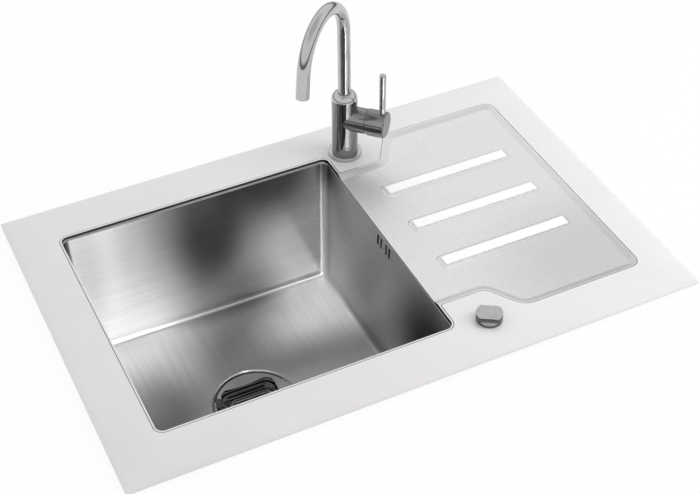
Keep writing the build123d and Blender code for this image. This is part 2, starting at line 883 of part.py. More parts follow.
with BuildPart() as overflow_housing:
    with BuildSketch(overflow_box_plane):
        with Locations((0, -overflow_box_drop)):
            RectangleRounded(overflow_box_width, overflow_box_height, overflow_box_corner)
    extrude(amount=overflow_box_depth)
    for tube_radius, tube_reach in (
        (hose_stop_radius, hose_stop_reach),
        (hose_spigot_radius, hose_stop_reach + hose_spigot_length),
    ):
        with BuildSketch(overflow_level(overflow_z)):
            Circle(tube_radius)
        extrude(amount=-overflow_box_drop - overflow_box_height / 2 - tube_reach)
    with BuildSketch(overflow_box_plane):
        with Locations((0, -overflow_box_drop)):
            RectangleRounded(
                overflow_box_width - 2 * overflow_box_cheek,
                overflow_box_height - 2 * overflow_box_wall,
                overflow_box_corner - overflow_box_wall,
            )
    extrude(amount=overflow_box_depth - overflow_box_wall, mode=Mode.SUBTRACT)
    with BuildSketch(overflow_level(overflow_z)):
        Circle(hose_spigot_radius - hose_spigot_wall)
    extrude(
        amount=-overflow_box_drop - overflow_box_height / 2 - hose_stop_reach - hose_spigot_length,
        mode=Mode.SUBTRACT,
    )
    with BuildSketch(overflow_plane):
        Circle(overflow_boss_radius)
    extrude(amount=overflow_gasket_thickness + overflow_box_depth - overflow_box_wall)
    with BuildSketch(overflow_plane):
        Circle(overflow_screw_radius)
    extrude(amount=overflow_screw_length, mode=Mode.SUBTRACT)
overflow_housing.part.label = "overflow_housing"
export_step(overflow_housing.part, "parts/overflow_housing.step")

with BuildPart() as overflow_screw:
    with BuildSketch(overflow_plane.offset(-bowl_wall - running_clearance)):
        Circle(overflow_screw_radius)
    extrude(amount=overflow_screw_length)
    with BuildSketch(overflow_plane.offset(-bowl_wall - running_clearance)):
        Circle(overflow_screw_head_radius)
    extrude(amount=-overflow_screw_head_height)
    fillet(overflow_screw.faces().sort_by(Axis.X)[0].edges(), radius=overflow_screw_head_round)
    with BuildSketch(overflow_plane.offset(-bowl_wall - overflow_screw_head_height)):
        Rectangle(overflow_screw_head_radius * recess_share, recess_width)
        Rectangle(recess_width, overflow_screw_head_radius * recess_share)
    extrude(amount=recess_depth, mode=Mode.SUBTRACT)
overflow_screw.part.label = "overflow_screw"
export_step(overflow_screw.part, "parts/overflow_screw.step")

# Waste: planes on its axis, and the frame of the pop-up mechanism
screw_points = [
    (side_x * waste_screw_spread, side_y * waste_screw_spread) for side_x in (-1, 1) for side_y in (-1, 1)
]


def waste_level(z):
    """Sketch plane square to the waste axis at height z."""
    return Plane(origin=(waste_x, waste_y, z))


waste_axis = Axis((waste_x, waste_y, 0), (0, 0, 1))
waste_side = Plane(origin=(waste_x, waste_y, 0), x_dir=(1, 0, 0), z_dir=(0, -1, 0))

with BuildPart() as waste_flange_seal:
    with BuildSketch(waste_level(seat_z)):
        Circle(flange_radius - seal_setback)
        Circle(waste_hole_radius, mode=Mode.SUBTRACT)
    extrude(amount=waste_seal_thickness)
waste_flange_seal.part.label = "waste_flange_seal"
export_step(waste_flange_seal.part, "parts/waste_flange_seal.step")

# Flange pressed in one piece: beaded rim, dished ring and the rounded-square well
dish_z = flange_bottom_z + flange_thickness
well_edge = well_size / 2 - well_edge_inset
dish_fall = (dish_radius - well_edge) * tan(radians(dish_angle))
with BuildPart() as waste_flange:
    with BuildSketch(waste_side):
        Polygon(
            (0, flange_bottom_z),
            (flange_radius, flange_bottom_z),
            (flange_radius, dish_z + flange_bead / 2),
            (flange_radius - flange_bead_width / 4, dish_z + flange_bead),
            (flange_radius - flange_bead_width * 3 / 4, dish_z + flange_bead),
            (flange_radius - flange_bead_width, dish_z),
            (0, dish_z),
            align=None,
        )
    revolve(axis=waste_axis)
    with BuildSketch(waste_level(flange_bottom_z)):
        Circle(waste_hole_radius - hole_clearance)
    with BuildSketch(waste_level(flange_bottom_z - dish_fall)):
        Circle(well_edge)
    loft(ruled=True)
    with BuildSketch(waste_level(well_plate_z - well_wall)):
        RectangleRounded(well_size + 2 * well_wall, well_size + 2 * well_wall, well_corner + well_wall)
    extrude(amount=flange_bottom_z - well_plate_z + well_wall)
    with BuildSketch(waste_level(dish_z)):
        Circle(dish_radius)
    with BuildSketch(waste_level(dish_z - dish_fall)):
        Circle(well_edge)
    loft(ruled=True, mode=Mode.SUBTRACT)
    with BuildSketch(waste_level(well_plate_z)):
        RectangleRounded(well_size, well_size, well_corner)
    extrude(amount=floor_z - well_plate_z, mode=Mode.SUBTRACT)
    with BuildSketch(waste_level(well_plate_z)):
        Circle(throat_radius)
        with Locations(*screw_points):
            Circle(waste_screw_radius + thread_clearance)
    extrude(amount=-well_wall, mode=Mode.SUBTRACT)
waste_flange.part.label = "waste_flange"
export_step(waste_flange.part, "parts/waste_flange.step")

with BuildPart() as waste_body_seal:
    with BuildSketch(waste_level(body_flange_z)):
        Circle(body_flange_radius - seal_setback)
        Circle(body_bore_radius, mode=Mode.SUBTRACT)
    extrude(amount=body_seal_thickness)
waste_body_seal.part.label = "waste_body_seal"
export_step(waste_body_seal.part, "parts/waste_body_seal.step")

# Screws that draw the waste body up to the flange
with BuildPart() as waste_screws:
    with BuildSketch(waste_level(well_plate_z)):
        with Locations(*screw_points):
            Circle(waste_screw_radius)
    extrude(amount=-waste_screw_length)
    with BuildSketch(waste_level(well_plate_z)):
        with Locations(*screw_points):
            Circle(waste_screw_head_radius)
    extrude(amount=waste_screw_head_height)
    with BuildSketch(waste_level(well_plate_z + waste_screw_head_height)):
        with Locations(*screw_points):
            Rectangle(waste_screw_head_radius * recess_share, recess_width)
            Rectangle(recess_width, waste_screw_head_radius * recess_share)
    extrude(amount=-recess_depth, mode=Mode.SUBTRACT)
waste_screws.part.label = "waste_screws"
export_step(waste_screws.part, "parts/waste_screws.step")

# Moulded waste body: cup, funnel, outlet, overflow inlet, and the box for the lift lever
lift_pivot = Vector(lift_pivot_x, waste_y, lift_pivot_z)
lift_plane = Plane(origin=lift_pivot, x_dir=(1, 0, 0), z_dir=(0, -1, 0))
lift_box_top = lift_pivot_z + lift_box_above
lift_box_bottom = lift_pivot_z - lift_box_below
lift_box_end = waste_x + lift_box_reach
gland_z = lift_pivot_z + lift_short_arm
gland_plane = Plane(origin=(lift_box_end, waste_y, gland_z), x_dir=(0, 1, 0), z_dir=(1, 0, 0))
spigot_z = ledge_z - body_wall - hose_stop_radius - spigot_drop
spigot_way = Vector(1, 0, 0).rotate(Axis.Z, spigot_angle)
spigot_plane = Plane(origin=(waste_x, waste_y, spigot_z), z_dir=spigot_way)
outer_funnel_radius = ledge_radius + body_wall


def lift_box(inset, inner_x):
    """Box round the lift lever, made smaller on every side by inset."""
    with BuildPart() as box:
        with BuildSketch(Plane(origin=(inner_x, waste_y, 0), x_dir=(0, 1, 0), z_dir=(1, 0, 0))):
            with Locations((0, (lift_box_top + lift_box_bottom) / 2)):
                Rectangle(lift_box_width - 2 * inset, lift_box_top - lift_box_bottom - 2 * inset)
        extrude(amount=lift_box_end - inset - inner_x)
    return box.part


with BuildPart() as waste_body:
    with BuildSketch(waste_side):
        Polygon(
            (0, outlet_end_z),
            (outlet_radius, outlet_end_z),
            (outlet_radius, outlet_z - outlet_collar_height),
            (outlet_collar_radius, outlet_z - outlet_collar_height),
            (outlet_collar_radius, outlet_z),
            (outer_funnel_radius, funnel_z),
            (outer_funnel_radius, ledge_z - body_wall),
            (body_bore_radius + body_wall, ledge_z - body_wall),
            (body_bore_radius + body_wall, body_flange_z - body_flange_thickness),
            (body_flange_radius, body_flange_z - body_flange_thickness),
            (body_flange_radius, body_flange_z),
            (0, body_flange_z),
            align=None,
        )
    revolve(axis=waste_axis)
    for tube_radius, tube_reach in (
        (hose_stop_radius, hose_stop_reach),
        (hose_spigot_radius, hose_stop_reach + hose_spigot_length),
    ):
        with BuildSketch(spigot_plane):
            Circle(tube_radius)
        extrude(amount=outer_funnel_radius + tube_reach)
    add(lift_box(0, waste_x + outlet_radius - body_wall))
    with BuildSketch(waste_side):
        Polygon(
            (0, outlet_end_z),
            (outlet_bore_radius, outlet_end_z),
            (outlet_bore_radius, outlet_z),
            (ledge_radius, funnel_z),
            (ledge_radius, ledge_z),
            (body_bore_radius, ledge_z),
            (body_bore_radius, body_flange_z),
            (0, body_flange_z),
            align=None,
        )
    revolve(axis=waste_axis, mode=Mode.SUBTRACT)
    with BuildSketch(spigot_plane):
        Circle(hose_spigot_radius - hose_spigot_wall)
    extrude(amount=outer_funnel_radius + hose_stop_reach + hose_spigot_length, mode=Mode.SUBTRACT)
    add(lift_box(lift_box_wall, waste_x), mode=Mode.SUBTRACT)
    with BuildSketch(waste_level(ledge_z)):
        with Locations(*screw_points):
            Circle(screw_boss_radius)
    extrude(amount=-screw_boss_depth)
    with BuildSketch(waste_level(well_plate_z)):
        with Locations(*screw_points):
            Circle(waste_screw_radius)
    extrude(amount=-waste_screw_length - waste_screw_spare, mode=Mode.SUBTRACT)
    with BuildSketch(lift_plane):
        Circle(lift_pin_radius)
    extrude(amount=lift_box_width, both=True, mode=Mode.SUBTRACT)
    with BuildSketch(gland_plane):
        Circle(gland_neck_radius)
    extrude(amount=-lift_box_wall, mode=Mode.SUBTRACT)
waste_body.part.label = "waste_body"
export_step(waste_body.part, "parts/waste_body.step")

# Stem guide: a three-armed spider that rests on the slope of the funnel
with BuildPart() as stem_guide:
    with BuildSketch(waste_level(guide_bottom_z)):
        Circle(guide_radius)
        with PolarLocations(ledge_radius / 2, guide_arm_count, start_angle=guide_arm_angle):
            Rectangle(ledge_radius, guide_arm_width)
    extrude(amount=funnel_z - guide_bottom_z)
    with BuildSketch(waste_side):
        Polygon(
            (0, outlet_z),
            (outlet_bore_radius, outlet_z),
            (ledge_radius, funnel_z),
            (0, funnel_z),
            align=None,
        )
    revolve(axis=waste_axis, mode=Mode.INTERSECT)
    with BuildSketch(waste_level(guide_bottom_z)):
        Circle(guide_radius)
    extrude(amount=guide_length)
    with BuildSketch(waste_level(guide_bottom_z)):
        Circle(stem_radius + running_clearance)
    extrude(amount=guide_length, mode=Mode.SUBTRACT)
stem_guide.part.label = "stem_guide"
export_step(stem_guide.part, "parts/stem_guide.step")

with BuildPart() as rocker_axle:
    with BuildSketch(lift_plane.offset(-lift_box_width / 2)):
        Circle(lift_pin_radius)
    extrude(amount=lift_box_width)
rocker_axle.part.label = "rocker_axle"
export_step(rocker_axle.part, "parts/rocker_axle.step")

# Two-armed lever, drawn in its rest position under the plug stem
rocker_plane = lift_plane.offset(-lift_width / 2)
with BuildPart() as lift_rocker:
    with BuildSketch(rocker_plane):
        Circle(lift_hub_radius)
        with Locations((-lift_arm * cos(radians(lift_angle / 2)), -plug_travel / 2)):
            Circle(lift_tip_radius)
        make_hull()
    extrude(amount=lift_width)
    with BuildSketch(rocker_plane):
        Circle(lift_hub_radius)
        with Locations((0, lift_short_arm)):
            Circle(lift_tip_radius)
        make_hull()
    extrude(amount=lift_width)
    with BuildSketch(rocker_plane):
        Circle(lift_pin_radius + running_clearance)
    extrude(amount=lift_width, mode=Mode.SUBTRACT)
lift_rocker.part.label = "lift_rocker"
export_step(lift_rocker.part, "parts/lift_rocker.step")

with BuildPart() as waste_cable_gland:
    with BuildSketch(gland_plane.offset(-lift_box_wall)):
        Circle(gland_neck_radius)
    extrude(amount=lift_box_wall)
    with BuildSketch(gland_plane):
        Circle(gland_radius)
    extrude(amount=gland_length)
    with BuildSketch(gland_plane):
        RegularPolygon(gland_nut_radius, 6)
    extrude(amount=gland_nut_length)
    with BuildSketch(gland_plane.offset(-lift_box_wall)):
        Circle(gland_bore_radius)
    extrude(amount=lift_box_wall + gland_length, mode=Mode.SUBTRACT)
waste_cable_gland.part.label = "waste_cable_gland"
export_step(waste_cable_gland.part, "parts/waste_cable_gland.step")

# Strainer basket: slotted square plate with an upstand, a skirt, and a window under its cover
strainer_size = well_size - 2 * strainer_clearance
strainer_corner = well_corner - strainer_clearance
with BuildPart() as strainer_basket:
    with BuildSketch(waste_level(strainer_z - strainer_plate)):
        RectangleRounded(strainer_size, strainer_size, strainer_corner)
    extrude(amount=strainer_plate + strainer_rim_height)
    with BuildSketch(waste_level(strainer_z)):
        RectangleRounded(
            strainer_size - 2 * strainer_rim,
            strainer_size - 2 * strainer_rim,
            strainer_corner - strainer_rim,
        )
    extrude(amount=strainer_rim_height, mode=Mode.SUBTRACT)
    with BuildSketch(waste_level(strainer_z - strainer_plate)):
        RectangleRounded(strainer_size, strainer_size, strainer_corner)
        RectangleRounded(
            strainer_size - strainer_rim,
            strainer_size - strainer_rim,
            strainer_corner - strainer_rim / 2,
            mode=Mode.SUBTRACT,
        )
    extrude(amount=-strainer_skirt)
    with BuildSketch(waste_level(strainer_z)):
        with Locations(*[(0, side * offset) for side in (-1, 1) for offset in strainer_slot_offsets]):
            SlotOverall(strainer_slot_length, strainer_slot_width)
        RectangleRounded(
            cover_length - 2 * cover_window_inset,
            cover_width - 2 * cover_window_inset,
            cover_corner - cover_window_inset,
        )
        Rectangle(strainer_spoke, cover_width, mode=Mode.SUBTRACT)
        Circle(cover_pad_radius, mode=Mode.SUBTRACT)
        Circle(stem_neck_radius)
    extrude(amount=-strainer_plate, mode=Mode.SUBTRACT)
strainer_basket.part.label = "strainer_basket"
export_step(strainer_basket.part, "parts/strainer_basket.step")

# Cover of the strainer: raised rim, slotted floor, and the pad that takes the stem
with BuildPart() as strainer_cover:
    with BuildSketch(waste_level(strainer_z)):
        RectangleRounded(cover_length, cover_width, cover_corner)
    extrude(amount=cover_rim_height)
    with BuildSketch(waste_level(strainer_z + cover_plate)):
        RectangleRounded(cover_length - 2 * cover_rim, cover_width - 2 * cover_rim, cover_corner - cover_rim)
    extrude(amount=cover_rim_height, mode=Mode.SUBTRACT)
    with BuildSketch(waste_level(strainer_z)):
        with Locations(*[(0, side * offset) for side in (-1, 1) for offset in cover_slot_offsets]):
            SlotOverall(cover_slot_length, strainer_slot_width)
    extrude(amount=cover_plate, mode=Mode.SUBTRACT)
    with BuildSketch(waste_level(strainer_z)):
        Circle(cover_pad_radius)
    extrude(amount=cover_pad_height)
    with BuildSketch(waste_level(strainer_z)):
        Circle(stem_neck_radius)
    extrude(amount=cover_plate, mode=Mode.SUBTRACT)
strainer_cover.part.label = "strainer_cover"
export_step(strainer_cover.part, "parts/strainer_cover.step")

with BuildPart() as plug_stem:
    with BuildSketch(waste_side):
        Polygon(
            (0, stem_bottom_z),
            (stem_radius, stem_bottom_z),
            (stem_radius, seal_top_z),
            (stem_collar_radius, seal_top_z),
            (stem_collar_radius, strainer_z - strainer_plate),
            (stem_neck_radius, strainer_z - strainer_plate),
            (stem_neck_radius, strainer_z + cover_plate),
            (0, strainer_z + cover_plate),
            align=None,
        )
    revolve(axis=waste_axis)
    fillet(plug_stem.faces().sort_by(Axis.Z)[0].edges(), radius=stem_radius - stem_tip_flat)
plug_stem.part.label = "plug_stem"
export_step(plug_stem.part, "parts/plug_stem.step")

with BuildPart() as plug_seal:
    with BuildSketch(waste_level(seal_bottom_z)):
        Circle(plug_seal_radius)
        Circle(stem_radius, mode=Mode.SUBTRACT)
    extrude(amount=plug_seal_thickness)
plug_seal.part.label = "plug_seal"
export_step(plug_seal.part, "parts/plug_seal.step")

with BuildPart() as plug_seal_nut:
    with BuildSketch(waste_level(seal_bottom_z)):
        RegularPolygon(seal_nut_radius, 6)
        Circle(stem_radius, mode=Mode.SUBTRACT)
    extrude(amount=-seal_nut_height)
plug_seal_nut.part.label = "plug_seal_nut"
export_step(plug_seal_nut.part, "parts/plug_seal_nut.step")


# Turning knob that works the pop-up waste
def knob_level(z):
    """Sketch plane square to the knob axis at height z."""
    return Plane(origin=(knob_x, knob_y, z))


knob_chord = Vector(1, 0, 0).rotate(Axis.Z, knob_turn_angle)
knob_side = Plane(origin=(knob_x, knob_y, glass_top_z), x_dir=Vector(0, 0, 1).cross(knob_chord), z_dir=knob_chord)
scoop_height = scoop_bottom + scoop_radius
scoop_centre = scoop_top_offset + sqrt(scoop_radius ** 2 - (knob_height - scoop_height) ** 2)
bush_top_z = glass_top_z + knob_washer_thickness + bush_flange_thickness
crank_top_z = bush_bottom_z - drive_box_wall - crank_drop
crank_bottom_z = crank_top_z - crank_thickness

with BuildPart() as turn_knob:
    with BuildSketch(knob_level(glass_top_z + knob_gap)):
        Circle(knob_radius)
    extrude(amount=knob_height - knob_gap)
    fillet(turn_knob.faces().sort_by(Axis.Z)[-1].edges(), radius=knob_edge_fillet)
    with BuildSketch(knob_side):
        with Locations((scoop_centre, scoop_height), (-scoop_centre, scoop_height)):
            Circle(scoop_radius)
    extrude(amount=knob_radius, both=True, mode=Mode.SUBTRACT)
    with BuildSketch(knob_level(glass_top_z)):
        Circle(bush_flange_radius + knob_hollow_clearance)
    extrude(amount=bush_top_z - glass_top_z + knob_gap, mode=Mode.SUBTRACT)
    with BuildSketch(knob_level(glass_top_z)):
        Circle(spindle_radius)
    extrude(amount=knob_socket_depth + knob_gap, mode=Mode.SUBTRACT)
turn_knob.part.label = "turn_knob"
export_step(turn_knob.part, "parts/turn_knob.step")

with BuildPart() as knob_spindle:
    with BuildSketch(knob_level(crank_bottom_z)):
        Circle(spindle_radius)
    extrude(amount=glass_top_z + knob_socket_depth + knob_gap - crank_bottom_z)
knob_spindle.part.label = "knob_spindle"
export_step(knob_spindle.part, "parts/knob_spindle.step")

with BuildPart() as knob_washer:
    with BuildSketch(knob_level(glass_top_z)):
        Circle(bush_flange_radius)
        Circle(bush_radius, mode=Mode.SUBTRACT)
    extrude(amount=knob_washer_thickness)
knob_washer.part.label = "knob_washer"
export_step(knob_washer.part, "parts/knob_washer.step")

with BuildPart() as knob_bush:
    with BuildSketch(knob_level(bush_bottom_z)):
        Circle(bush_radius)
    extrude(amount=bush_top_z - bush_bottom_z)
    with BuildSketch(knob_level(bush_top_z)):
        Circle(bush_flange_radius)
    extrude(amount=-bush_flange_thickness)
    with BuildSketch(knob_level(bush_bottom_z)):
        Circle(spindle_radius + running_clearance)
    extrude(amount=bush_top_z - bush_bottom_z, mode=Mode.SUBTRACT)
knob_bush.part.label = "knob_bush"
export_step(knob_bush.part, "parts/knob_bush.step")

with BuildPart() as knob_seal:
    with BuildSketch(knob_level(sheet_bottom_z)):
        Circle(knob_seal_radius)
        Circle(bush_radius, mode=Mode.SUBTRACT)
    extrude(amount=-knob_seal_thickness)
knob_seal.part.label = "knob_seal"
export_step(knob_seal.part, "parts/knob_seal.step")

with BuildPart() as knob_nut:
    with BuildSketch(knob_level(sheet_bottom_z - knob_seal_thickness)):
        RegularPolygon(knob_nut_flat / 2, 6, major_radius=False)
        Circle(bush_radius, mode=Mode.SUBTRACT)
    extrude(amount=-knob_nut_height)
knob_nut.part.label = "knob_nut"
export_step(knob_nut.part, "parts/knob_nut.step")

# Drive box on the end of the bush; a crank in it pulls the cable of the waste
drive_gland_z = crank_bottom_z - crank_pin_length / 2
drive_gland_plane = Plane(
    origin=(
        knob_x - drive_box_radius + drive_gland_setback,
        knob_y - crank_arm * cable_line_share,
        drive_gland_z,
    ),
    x_dir=(0, 1, 0),
    z_dir=(-1, 0, 0),
)
with BuildPart() as drive_housing:
    with BuildSketch(knob_level(bush_bottom_z - drive_box_height)):
        Circle(drive_box_radius)
    extrude(amount=drive_box_height)
    with BuildSketch(knob_level(bush_bottom_z)):
        Circle(drive_neck_radius)
    extrude(amount=drive_neck_length)
    with BuildSketch(knob_level(bush_bottom_z - drive_box_height + drive_box_wall)):
        Circle(drive_box_radius - drive_box_wall)
    extrude(amount=drive_box_height - 2 * drive_box_wall, mode=Mode.SUBTRACT)
    with BuildSketch(knob_level(bush_bottom_z - drive_box_wall)):
        Circle(bush_radius)
    extrude(amount=drive_box_wall + drive_neck_length, mode=Mode.SUBTRACT)
    with BuildSketch(drive_gland_plane):
        Circle(gland_neck_radius)
    extrude(amount=2 * drive_box_wall, both=True, mode=Mode.SUBTRACT)
drive_housing.part.label = "drive_housing"
export_step(drive_housing.part, "parts/drive_housing.step")

with BuildPart() as cable_crank:
    with BuildSketch(knob_level(crank_bottom_z)):
        Circle(crank_radius)
        Circle(spindle_radius, mode=Mode.SUBTRACT)
    extrude(amount=crank_thickness)
    with BuildSketch(knob_level(crank_bottom_z)):
        Circle(crank_hub_radius)
    extrude(amount=-crank_hub_height)
    with BuildSketch(knob_level(crank_bottom_z)):
        with PolarLocations(crank_arm, 1, start_angle=crank_rest_angle):
            Circle(crank_pin_radius)
    extrude(amount=-crank_pin_length)
cable_crank.part.label = "cable_crank"
export_step(cable_crank.part, "parts/cable_crank.step")

with BuildPart() as knob_cable_gland:
    with BuildSketch(drive_gland_plane):
        Circle(gland_neck_radius)
    extrude(amount=gland_length)
    with BuildSketch(drive_gland_plane.offset(gland_neck_length)):
        Circle(gland_radius)
    extrude(amount=gland_length - gland_neck_length)
    with BuildSketch(drive_gland_plane.offset(gland_nut_start)):
        RegularPolygon(gland_nut_radius, 6)
    extrude(amount=gland_nut_length)
    with BuildSketch(drive_gland_plane):
        Circle(gland_bore_radius)
    extrude(amount=gland_length, mode=Mode.SUBTRACT)
knob_cable_gland.part.label = "knob_cable_gland"
export_step(knob_cable_gland.part, "parts/knob_cable_gland.step")

# Tap: planes and axes of the column and of the mixer hub on its side
tap_origin = Vector(tap_x, tap_y, glass_top_z)
hub_direction = Vector(1, 0, 0).rotate(Axis.Z, tap_turn_angle)
hub_across = Vector(0, 0, 1).cross(hub_direction)
hub_origin = tap_origin + Vector(0, 0, hub_height)
tap_side = Plane(origin=tap_origin, x_dir=hub_direction, z_dir=-hub_across)
tap_axis = Axis(tap_origin, (0, 0, 1))
hub_axis = Axis(hub_origin, hub_direction)


def tap_level(height):
    """Sketch plane square to the column, at a height above the glass."""
    return Plane(origin=tap_origin + Vector(0, 0, height), x_dir=hub_direction, z_dir=(0, 0, 1))


def foot_level(height):
    """Sketch plane square to the column and in line with the glass, at a height above it."""
    return Plane(origin=tap_origin + Vector(0, 0, height), x_dir=(1, 0, 0), z_dir=(0, 0, 1))


def hub_level(reach):
    """Sketch plane square to the hub, at a distance from the column axis; local Y is up."""
    return Plane(origin=hub_origin + hub_direction * reach, x_dir=hub_across, z_dir=hub_direction)


fixing_height = sheet_bottom_z - glass_top_z
plate_height = fixing_height - fixing_rubber_thickness
nut_height = plate_height - fixing_plate_thickness
stud_points = [(0, -stud_spread / 2), (0, stud_spread / 2)]
inlet_points = [(-inlet_spread / 2, 0), (inlet_spread / 2, 0)]

with BuildPart() as tap_base_seal:
    with BuildSketch(tap_level(0)):
        Circle(base_ring_radius - seal_setback)
        Circle(base_ring_bore, mode=Mode.SUBTRACT)
    extrude(amount=base_seal_thickness)
tap_base_seal.part.label = "tap_base_seal"
export_step(tap_base_seal.part, "parts/tap_base_seal.step")

with BuildPart() as tap_base_ring:
    with BuildSketch(tap_level(base_seal_thickness)):
        Circle(base_ring_radius)
    extrude(amount=base_ring_height - base_seal_thickness)
    fillet(tap_base_ring.faces().sort_by(Axis.Z)[-1].edges(), radius=base_ring_round)
    with BuildSketch(tap_level(base_seal_thickness)):
        Circle(base_ring_bore)
    extrude(amount=base_ring_height, mode=Mode.SUBTRACT)
    with BuildSketch(tap_level(body_bottom)):
        Circle(tap_radius + thread_clearance)
    extrude(amount=base_ring_height, mode=Mode.SUBTRACT)
tap_base_ring.part.label = "tap_base_ring"
export_step(tap_base_ring.part, "parts/tap_base_ring.step")

# Cast body: column, side hub for the mixer, inlets, waterways and the socket of the spout
with BuildPart() as tap_body:
    with BuildSketch(tap_level(body_bottom)):
        Circle(tap_radius)
    extrude(amount=tap_body_top - body_bottom)
    with BuildSketch(hub_level(0)):
        Circle(hub_radius)
    extrude(amount=hub_reach)
    with BuildSketch(tap_level(tap_body_top - spout_socket_depth)):
        Circle(spout_socket_radius)
    extrude(amount=spout_socket_depth, mode=Mode.SUBTRACT)
    with BuildSketch(hub_level(cartridge_start)):
        Circle(cartridge_radius + cartridge_clearance)
    extrude(amount=hub_reach - cartridge_start, mode=Mode.SUBTRACT)
    with BuildSketch(hub_level(hub_reach - nut_thread_depth)):
        Circle(nut_thread_radius)
    extrude(amount=nut_thread_depth, mode=Mode.SUBTRACT)
    with BuildSketch(foot_level(body_bottom)):
        with Locations(*inlet_points):
            Circle(inlet_radius)
    extrude(amount=inlet_depth, mode=Mode.SUBTRACT)
    with BuildSketch(foot_level(body_bottom)):
        with Locations(*inlet_points):
            Circle(channel_radius)
    extrude(amount=hub_height - body_bottom, mode=Mode.SUBTRACT)
    for inlet_x, inlet_y in inlet_points:
        inlet_way = Vector(inlet_x, inlet_y)
        channel_start = inlet_way.dot(hub_direction)
        with BuildSketch(hub_level(channel_start)):
            with Locations((inlet_way.dot(hub_across), -channel_radius)):
                Circle(channel_radius)
        extrude(amount=cartridge_start - channel_start, mode=Mode.SUBTRACT)
    with BuildSketch(hub_level(0)):
        with Locations((0, 2 * outlet_channel_radius)):
            Circle(outlet_channel_radius)
    extrude(amount=cartridge_start, mode=Mode.SUBTRACT)
    with BuildSketch(tap_level(hub_height + 2 * outlet_channel_radius)):
        Circle(outlet_channel_radius)
    extrude(amount=tap_body_top - spout_socket_depth - hub_height, mode=Mode.SUBTRACT)
    with BuildSketch(foot_level(body_bottom)):
        with Locations(*stud_points):
            Circle(stud_radius)
    extrude(amount=stud_depth, mode=Mode.SUBTRACT)
tap_body.part.label = "tap_body"
export_step(tap_body.part, "parts/tap_body.step")

# Fixing under the sheet: studs, rubber washer, slotted plate and nuts
with BuildPart() as tap_studs:
    with BuildSketch(foot_level(-stud_drop)):
        with Locations(*stud_points):
            Circle(stud_radius)
    extrude(amount=stud_drop + body_bottom + stud_depth)
tap_studs.part.label = "tap_studs"
export_step(tap_studs.part, "parts/tap_studs.step")

for washer_name, washer_height, washer_thickness in (
    ("tap_rubber_washer", fixing_height, fixing_rubber_thickness),
    ("tap_fixing_plate", plate_height, fixing_plate_thickness),
):
    with BuildPart() as fixing_washer:
        with BuildSketch(foot_level(washer_height)):
            Circle(fixing_plate_radius)
            SlotOverall(fixing_slot_length, fixing_slot_width, mode=Mode.SUBTRACT)
            with Locations(*stud_points):
                Circle(stud_radius + hole_clearance, mode=Mode.SUBTRACT)
        extrude(amount=-washer_thickness)
    fixing_washer.part.label = washer_name
    export_step(fixing_washer.part, f"parts/{washer_name}.step")

with BuildPart() as tap_nuts:
    with BuildSketch(foot_level(nut_height)):
        with Locations(*stud_points):
            RegularPolygon(fixing_nut_flat / 2, 6, major_radius=False)
            Circle(stud_radius, mode=Mode.SUBTRACT)
    extrude(amount=-fixing_nut_height)
tap_nuts.part.label = "tap_nuts"
export_step(tap_nuts.part, "parts/tap_nuts.step")

# Domed collar that closes the socket of the spout
with BuildPart() as spout_collar:
    with BuildSketch(tap_side):
        with BuildLine():
            Polyline(
                (shoulder_neck_radius, tap_body_top + shoulder_height),
                (spout_radius + spout_neck_gap, tap_body_top + shoulder_height),
                (spout_radius + spout_neck_gap, tap_body_top),
                (tap_radius, tap_body_top),
            )
            ThreePointArc(
                (tap_radius, tap_body_top),
                (tap_radius - shoulder_shift, tap_body_top + shoulder_height * shoulder_mid_share),
                (shoulder_neck_radius, tap_body_top + shoulder_height),
            )
        make_face()
    revolve(axis=tap_axis)
spout_collar.part.label = "spout_collar"
export_step(spout_collar.part, "parts/spout_collar.step")

# Swivel spout: one bent tube on a sleeve that turns in the socket
spout_direction = Vector(1, 0, 0).rotate(Axis.Z, spout_angle)
spout_side = Plane(origin=tap_origin, x_dir=spout_direction, z_dir=spout_direction.cross(Vector(0, 0, 1)))
sleeve_bottom = tap_body_top - spout_socket_depth + sleeve_end_gap
sleeve_top = tap_body_top - sleeve_end_gap
bend_end = radians(180 - spout_bend_angle)
tip_way = Vector(sin(bend_end), -cos(bend_end))
bend_finish = Vector(spout_bend_radius * (1 + cos(bend_end)), spout_rise + spout_bend_radius * sin(bend_end))
tube_finish = bend_finish + tip_way * (spout_drop - aerator_length)
spout_finish = bend_finish + tip_way * spout_drop
tip_direction = spout_direction * tip_way.X + Vector(0, 0, 1) * tip_way.Y


def tip_level(back):
    """Sketch plane square to the spout end, a distance back from its mouth."""
    mouth = spout_direction * spout_finish.X + Vector(0, 0, spout_finish.Y)
    return Plane(origin=tap_origin + mouth - tip_direction * back, x_dir=hub_across, z_dir=-tip_direction)


with BuildPart() as spout_tube:
    with BuildLine(spout_side):
        Line((0, sleeve_bottom), (0, spout_rise))
        CenterArc((spout_bend_radius, spout_rise), spout_bend_radius, 180, -spout_bend_angle)
        Line((bend_finish.X, bend_finish.Y), (tube_finish.X, tube_finish.Y))
    with BuildSketch(tap_level(sleeve_bottom)):
        Circle(spout_radius)
        Circle(spout_radius - spout_wall, mode=Mode.SUBTRACT)
    sweep()
spout_tube.part.label = "spout_tube"
export_step(spout_tube.part, "parts/spout_tube.step")

